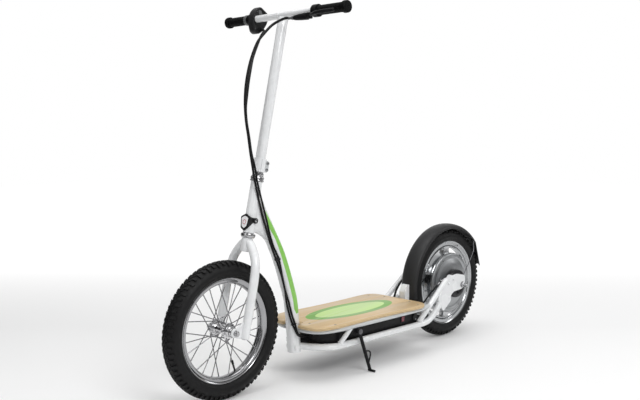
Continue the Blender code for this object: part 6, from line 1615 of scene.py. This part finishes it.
def make_perch():
    """Clamp with two screws, arm to the lever's pin, barrel and lock ring."""
    bar = BAR_MIDDLE
    shape = Shape()
    shape.lathe([
        (BAR_BORE, 0.1360), (0.0182, 0.1360), (0.0190, 0.1368), (0.0190, 0.1552),
        (0.0182, 0.1560), (BAR_BORE, 0.1560),
    ], bar, SIDE, 56)
    inner = at_bar(LEVER_AHEAD, 0.0800, -LEVER_DROP)
    shoulder = LEVER_PIVOT_Y - 0.0080 - 0.0012
    outer = at_bar(LEVER_AHEAD - 0.003, shoulder, -LEVER_DROP)
    high, deep = UP * 0.0110, FORWARD * 0.0075
    rows = []
    for t, tall, wide in ((0.0, 0.50, 0.66), (0.02, 0.66, 0.84), (0.10, 0.74, 0.88),
                          (0.30, 0.84, 0.94), (0.50, 0.92, 1.0), (0.75, 0.97, 1.0),
                          (0.97, 1.0, 1.0), (1.0, 0.94, 0.94)):
        rows.append(ellipse(inner + (outer - inner) * t, high * tall, deep * wide, 32))
    shape.loft(rows)
    neck = Matrix.Translation((at_bar(0.0141, 0.1310, -LEVER_DROP - 0.002)
                               + at_bar(0.0280, 0.1388, -LEVER_DROP + 0.010)) / 2)
    shape.block((0.0138, 0.0078, 0.0120), neck, 0.0016, 3)
    shape.use(1)
    shape.lathe([
        (0.0, 0.0160), (0.0036, 0.0160), (0.0042, 0.0154), (0.0042, 0.0100), (0.0056, 0.0098),
        (0.0058, 0.0090), (0.0054, 0.0086), (0.0058, 0.0082), (0.0054, 0.0078), (0.0058, 0.0074),
        (0.0054, 0.0070), (0.0058, 0.0066), (0.0054, 0.0062), (0.0058, 0.0056), (0.0056, 0.0050),
        (0.0046, 0.0048), (0.0046, 0.0032), (0.0062, 0.0030), (0.0064, 0.0024), (0.0064, 0.0012),
        (0.0060, 0.0006), (0.0, 0.0006),
    ], inner, -SIDE, 32, closed=False)
    shape.use(0)
    gap = 0.0043
    for sign in (-1, 1):
        outline = arc((LEVER_AHEAD, LEVER_PIVOT_Y), 0.0080, 0.0, 180.0, 18)
        outline += [(LEVER_AHEAD - 0.0080, shoulder - 0.006), (LEVER_AHEAD + 0.0040,
                                                               shoulder - 0.006)]
        level = -LEVER_DROP + sign * (gap + 0.0020)
        shape.plate(outline, 0.0038, Matrix.Translation(at_bar(0.0, 0.0, level)), edge=0.0006)
    shape.use(1)
    pin = at_bar(LEVER_AHEAD, LEVER_PIVOT_Y, -LEVER_DROP)
    shape.disc(0.0030, -0.0090, 0.0090, pin, UP, 20)
    shape.disc(0.0046, 0.0083, 0.0093, pin, UP, 24)
    shape.nut(0.0048, 0.0083, 0.0093, pin, -UP)
    for y in (0.1400, 0.1520):
        spot = at_bar(0.0, y, 0.0)
        shape.disc(0.0026, 0.0170, 0.0196, spot, -FORWARD, 20)
    shape.fine("brake_lever_perch", "steering", [BLACK_PAINT, DARK_STEEL], "black_paint", 38)


def make_lever():
    """Blade that thickens towards a rounded end, from its bored boss."""
    root = at_bar(LEVER_AHEAD, LEVER_PIVOT_Y, -LEVER_DROP)
    shape = Shape()
    shape.lathe(both_ways([(0.0033, 0.0040), (0.0074, 0.0040), (0.0080, 0.0034)]), root, UP, 36)
    route = smooth([root + Vector(point) for point in (
        (0.0045, 0.0040, 0.0), (0.0110, 0.0180, 0.0010), (0.0180, 0.0400, 0.0030),
        (0.0190, 0.0700, 0.0040), (0.0140, 0.1000, 0.0050), (0.0138, 0.1110, 0.0050),
    )], 8)
    count = len(route)
    radii = []
    for i in range(count):
        t = i / (count - 1)
        grow = 0.0035 + (0.0058 - 0.0035) * min(1.0, t / 0.35)
        tip = max(0.0, (t - 0.90) / 0.10)
        radii.append(grow * (1.0 + 0.07 * tip) * math.sqrt(max(0.0, 1.0 - (tip * 0.93) ** 4)))
    shape.tube(route, radii, 28, flat=0.78, face=UP)
    shape.fine("brake_lever", "lever", BLACK_PAINT, "black_paint", 40)


def fender_row(angle):
    """Section of the mudguard, from its left edge over the crown to its right edge."""
    out = ray(angle)
    radius, edge, half_width = 0.2290, 0.2130, 0.0345
    row = []
    count = 26
    for i in range(count + 1):
        across = math.pi * i / count
        lift = max(math.sin(across), 0.0) ** 0.8
        row.append(REAR_AXLE + out * (edge + (radius - edge) * lift)
                   + SIDE * (half_width * math.cos(across)))
    return row


def shell(shape, rows, centres, thickness):
    """Closed skin: rows of points and the same rows drawn in towards their centres."""
    inner = [[point + (centre - point).normalized() * thickness for point in row]
             for row, centre in zip(rows, centres)]
    count = len(rows[0])
    for grid in (rows, inner):
        shape.loft(grid, caps=False, loop=False)
    for k in (0, count - 1):
        shape.loft([[row[k] for row in rows], [row[k] for row in inner]], caps=False, loop=False)
    for k in (0, len(rows) - 1):
        shape.loft([rows[k], inner[k]], caps=False, loop=False)


def make_fender():
    """Arched mudguard with rolled edges, its flap and two screws."""
    shape = Shape()
    steps = 72
    rows, centres = [], []
    for i in range(steps + 1):
        angle = math.radians(-9.0 + 149.0 * i / steps)
        rows.append(fender_row(angle))
        centres.append(REAR_AXLE + ray(angle) * 0.160)
    shell(shape, rows, centres, 0.0022)
    for k in (0, -1):
        edge = [row[k] + (centre - row[k]).normalized() * 0.0006
                for row, centre in zip(rows, centres)]
        shape.tube(edge, 0.0016, 10)
    last = rows[-1]
    crown = last[len(last) // 2]
    tip = at(-0.2170, 0.0, 0.2580)
    drop = tip - crown
    flap, middles = [], []
    for i in range(13):
        t = i / 12
        row = []
        for point in last:
            level = point + drop * t + (crown - point).project(drop) * t
            row.append(level - SIDE * level.y * 0.22 * t)
        flap.append(row)
        middles.append(sum((row[0], row[-1]), Vector()) / 2 + drop.normalized() * 0.01)
    shell(shape, flap, middles, 0.0020)
    shape.use(1)
    for side in (-1, 1):
        angle = math.radians(134.5)
        out = ray(angle)
        normal = (out + SIDE * side * 0.35).normalized()
        base = REAR_AXLE + out * 0.2262 + SIDE * side * 0.0180
        shape.disc(0.0036, 0.0, 0.0018, base, normal, 20)
    shape.fine("rear_fender", "frame", [FENDER_PLASTIC, BRIGHT_STEEL], "grey_fender", 40)


def make_fender_bracket():
    """Folded sheet bracket between crossmember and mudguard."""
    rear, front = 0.2293, 0.2566
    base, slope, top = 0.1508, 0.2060, 0.2310
    flat = (front - rear) * 0.43
    shape = Shape()
    outline = [(rear, base), (front, base), (front, slope), (rear + flat, top), (rear, top)]
    inside = [(rear + 0.0028, base + 0.0028), (front - 0.0028, base + 0.0028),
              (front - 0.0028, slope - 0.0016), (rear + flat - 0.001, top - 0.0028),
              (rear + 0.0028, top - 0.0028)]
    loop = rounded(outline, 0.003, 5)
    for y in (0.0117, -0.0117):
        shape.plate(loop, 0.0026, side_place(y), edge=0.0007)
    shape.plate(loop, 0.0250, side_place(0.0), [rounded(inside, 0.0015, 5)], 0.0004)
    shape.fine("fender_bracket", "frame", WHITE, "white_paint", 35)


def make_fender_stay():
    y = PLATE_INNER_Y - GAP - 0.0035
    half = [REAR_AXLE + Vector((x, y, rise)) for x, rise in ((-0.0080, 0.0250),
                                                            (-0.0220, 0.0360))]
    angle = math.radians(134.0)
    out = ray(angle)
    half += [REAR_AXLE + out * (TYRE_RADIUS + beyond) + SIDE * across for beyond, across in (
        (-0.0600, 0.0620), (-0.0200, 0.0455), (-0.0070, 0.0395), (-0.0020, 0.0320),
        (0.0030, 0.0250), (0.0080, 0.0140), (0.0100, 0.0),
    )]
    route = half + [Vector((p.x, -p.y, p.z)) for p in reversed(half[:-1])]
    shape = Shape().tube(smooth(route, 7), 0.0017, 16)
    shape.fine("fender_stay", "frame", DARK_STEEL, "bright_steel")


BATTERY_FRONT_X = 0.6910
TRAY_FRONT_X = 0.7640


def front_room(share):
    return BATTERY_FRONT_X + (TRAY_FRONT_X - BATTERY_FRONT_X) * share


BRAKE_CABLE_ROUTE = [
    (0.8760, 0.0480, 1.1440), (0.8880, 0.0360, 1.1380), (0.9080, 0.0200, 1.1230),
    (0.9330, 0.0130, 1.0980), (0.9600, 0.0110, 1.0680), (0.9830, 0.0110, 1.0230),
    (0.9975, 0.0110, 0.9800), (1.0070, 0.0110, 0.9350), (1.0105, 0.0110, 0.8850),
    (1.0070, 0.0110, 0.8350), (0.9990, 0.0120, 0.7850), (0.9923, 0.0132, 0.7350),
    (0.9864, 0.0152, 0.6930), (0.9815, 0.0180, 0.6550), (0.9746, 0.0210, 0.6200),
    (0.9630, 0.0218, 0.5750), (0.9524, 0.0237, 0.5350), (0.9370, 0.0245, 0.4900),
    (0.9138, 0.0160, 0.4450), (0.8940, 0.0152, 0.4020), (0.8759, 0.0203, 0.3500),
    (0.8600, 0.0200, 0.3000), (0.8418, 0.0178, 0.2560), (0.8308, 0.0202, 0.2150),
    (0.8218, 0.0247, 0.1850), (0.8222, 0.0338, 0.1620), (0.8110, 0.0364, 0.1500),
    (TRAY_FRONT_X, 0.0375, 0.1500), (front_room(0.685), 0.0450, 0.1500),
    (front_room(0.410), 0.0660, 0.1510), (front_room(0.040), 0.0792, 0.1520),
    (0.6600, 0.0792, 0.1520), (0.5000, 0.0792, 0.1520), (0.3300, 0.0782, 0.1520),
    (0.2816, 0.0778, 0.1520), (0.2550, 0.0780, 0.1560), (0.2200, 0.0720, 0.1690),
    (0.1750, 0.0700, 0.1980), (0.1172, 0.0705, 0.2325),
]
THROTTLE_WIRE_ROUTE = [
    (0.8300, -0.1100, 1.1220), (0.8400, -0.1030, 1.1140),
    (0.8600, -0.0920, 1.0980), (0.8900, -0.0730, 1.0690), (0.9330, -0.0430, 1.0270),
    (0.9640, -0.0170, 0.9900), (0.9860, -0.0010, 0.9500), (0.9970, 0.0040, 0.9080),
    (1.0020, 0.0040, 0.8700), (0.9995, 0.0045, 0.8300), (0.9920, 0.0060, 0.7850),
    (0.9848, 0.0082, 0.7350), (0.9762, 0.0138, 0.6930), (0.9740, 0.0202, 0.6550),
    (0.9656, 0.0220, 0.6200), (0.9533, 0.0237, 0.5750), (0.9413, 0.0243, 0.5350),
    (0.9290, 0.0250, 0.4900), (0.9069, 0.0180, 0.4450), (0.8853, 0.0190, 0.4020),
    (0.8688, 0.0149, 0.3500), (0.8549, 0.0133, 0.3000), (0.8449, 0.0097, 0.2560),
    (0.8367, 0.0142, 0.2150), (0.8284, 0.0193, 0.1850), (0.8198, 0.0262, 0.1610),
    (0.8060, 0.0268, 0.1440), (TRAY_FRONT_X, 0.0240, 0.1370), (front_room(0.685), 0.0350, 0.1370),
    (front_room(0.385), 0.0660, 0.1370), (front_room(0.040), 0.0795, 0.1370),
    (0.6400, 0.0797, 0.1370), (0.5000, 0.0797, 0.1370), (0.4200, 0.0794, 0.1360),
    (0.3900, 0.0680, 0.1320),
]
MOTOR_CABLE_ROUTE = [
    (0.0030, -0.0640, 0.2340), (0.0250, -0.0690, 0.2450), (0.0750, -0.0720, 0.2530),
    (0.1300, -0.0720, 0.2450), (0.1750, -0.0710, 0.2240), (0.2050, -0.0700, 0.1950),
    (0.2200, -0.0680, 0.1720), (0.2500, -0.0630, 0.1600), (0.2816, -0.0620, 0.1500),
    (0.3100, -0.0610, 0.1440),
]


def free_radius(point, radius):
    """Radius of a sheath, a little more above the frame where the cables hang free."""
    return radius + 0.0009 * max(0.0, min(1.0, (point.z - 0.66) / 0.10))


def make_cables():
    """Three cables; the brake cable ends a little short of its solid, clear of the arm."""
    barrel = at_bar(LEVER_AHEAD, 0.0637, -LEVER_DROP)
    route = smooth([barrel - SIDE * 0.0070, *[at(*p) for p in BRAKE_CABLE_ROUTE]], 7)
    shape = Shape().tube([barrel, *route], [free_radius(p, 0.0032) for p in [barrel, *route]], 18)
    shape.use(1)
    shape.tube([barrel + SIDE * 0.0006, barrel - SIDE * 0.0068], 0.0041, 20)
    end = route[-1]
    run = (route[-1] - route[-4]).normalized()
    shape.tube([end - run * 0.0180, end - run * 0.0020], 0.0038, 18)
    shape.fine("brake_cable", "frame", [CABLE_JACKET, BRIGHT_STEEL], "cable_jacket",
               blend=("frame", "steering", *STEER_SPAN))
    face = at_bar(-0.0150, GAP - 0.1250 - 0.0040, -0.0300)
    socket = at(0.3700, 0.0403, 0.1260)
    points = [face + SIDE * 0.0070, *[at(*p) for p in THROTTLE_WIRE_ROUTE],
              socket + SIDE * 0.0070]
    route = smooth(points, 7)
    run = [face, *route, socket]
    shape = Shape().tube(run, [free_radius(p, 0.0031) for p in run], 18)
    shape.use(1)
    shape.tube([face + SIDE * 0.0004, face + SIDE * 0.0050, *route[3:9]],
               [0.0050, 0.0048, 0.0045, 0.0043, 0.0041, 0.0039, 0.0037, 0.0035], 20)
    shape.fine("throttle_wire", "frame", [CABLE_JACKET, GREY_PLASTIC], "cable_jacket",
               blend=("frame", "steering", *STEER_SPAN))
    axle = REAR_AXLE + Vector((0.0, -0.0640, 0.0113))
    socket = at(0.3340, -0.0403, 0.1260)
    route = smooth([axle + UP * 0.0070, *[at(*p) for p in MOTOR_CABLE_ROUTE],
                    socket - SIDE * 0.0070], 7)
    shape = Shape().tube([axle, *route, socket], 0.0040, 20)
    shape.fine("motor_cable", "frame", CABLE_JACKET, "cable_jacket")


STEER_SPAN = (steer(0.05), steer(0.33))


def cable_tie(shape, centre, along, across, wide, tall):
    """Strap in a rounded loop with its locking head."""
    band = 0.0032
    along = along.normalized()
    across = (across - along * across.dot(along)).normalized()
    other = along.cross(across)
    outline = []
    for k in range(32):
        angle = 2 * math.pi * k / 32
        c, s = math.cos(angle), math.sin(angle)
        outline.append((wide * (abs(c) ** 0.7) * (1 if c > 0 else -1),
                        tall * (abs(s) ** 0.7) * (1 if s > 0 else -1)))
    place = axes(centre, across, other, along)
    rows = []
    for height, grow in ((-band / 2, 0.0), (-band / 2, 0.0010), (band / 2, 0.0010),
                         (band / 2, 0.0)):
        rows.append([place @ Vector((x * (1 + grow / wide), y * (1 + grow / tall), height))
                     for x, y in outline])
    shape.loft(rows + [rows[0]], caps=False)
    shape.block((0.0048, 0.0036, 0.0052), axes(centre + other * (tall + 0.0016), across, other,
                                              along), 0.0006)


def make_ties():
    """Clip on the down tube, and the tie that holds both cables below it."""
    brake, wire = at(*BRAKE_CABLE_ROUTE[19]), at(*THROTTLE_WIRE_ROUTE[19])
    along = (at(*BRAKE_CABLE_ROUTE[18]) - at(*BRAKE_CABLE_ROUTE[20])).normalized()
    across = (brake - wire).normalized()
    outward = across.cross(along).normalized()
    shape = Shape()
    middle = (brake + wire) / 2
    shape.block((0.0190, 0.0088, 0.0086), axes(middle, across, outward, across.cross(outward)),
                0.0022, 3)
    shape.fine("cable_clip", "frame", BLACK_PLASTIC, "black_plastic")
    shape = Shape()
    a, b = at(*BRAKE_CABLE_ROUTE[24]), at(*THROTTLE_WIRE_ROUTE[24])
    run = at(*BRAKE_CABLE_ROUTE[23]) - at(*BRAKE_CABLE_ROUTE[25])
    cable_tie(shape, (a + b) / 2, run, a - b, 0.0082, 0.0040)
    shape.build("cable_ties", "frame", BLACK_PLASTIC)


# Looks of the frame's own solids: those below, and each finer piece's first material


SOLID_LOOKS = {
    "motor_controller": CASE_ALUMINIUM,
    "battery_pack": BATTERY_WRAP,
    "headset_lower_bearing": BEARING_STEEL,
    "headset_upper_bearing": BEARING_STEEL,
    "throttle_grip": GRIP_RUBBER,
    "brake_drum": DARK_STEEL,
    "motor_stator": STATOR,
    "fender_stay": BRIGHT_STEEL,
}


def dress_solids():
    for name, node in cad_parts.items():
        for entry in node.material_slots:
            entry.link = "OBJECT"
            entry.material = SOLID_LOOKS[name]


for make in (make_front_rim, make_spokes, make_front_hub, make_front_axle, make_rear_wheel,
             make_motor_cover, make_rear_axle, make_brake, make_fork, make_headset,
             make_head_tube, make_stem, make_clamp, make_handlebar, make_left_grip,
             make_throttle_grip, make_throttle_housing, make_reflector, make_down_tube,
             make_rails, make_crossmember, make_dropouts, make_stand_bracket, make_stand,
             make_deck, make_tray, make_switch, make_port, make_perch, make_lever, make_fender,
             make_fender_bracket, make_fender_stay, make_cables, make_ties):
    make()
make_tyre("front_tyre", FRONT_AXLE, "front_wheel")
make_tyre("rear_tyre", REAR_AXLE, "rear_wheel", 0.88)
dress_solids()
studio()
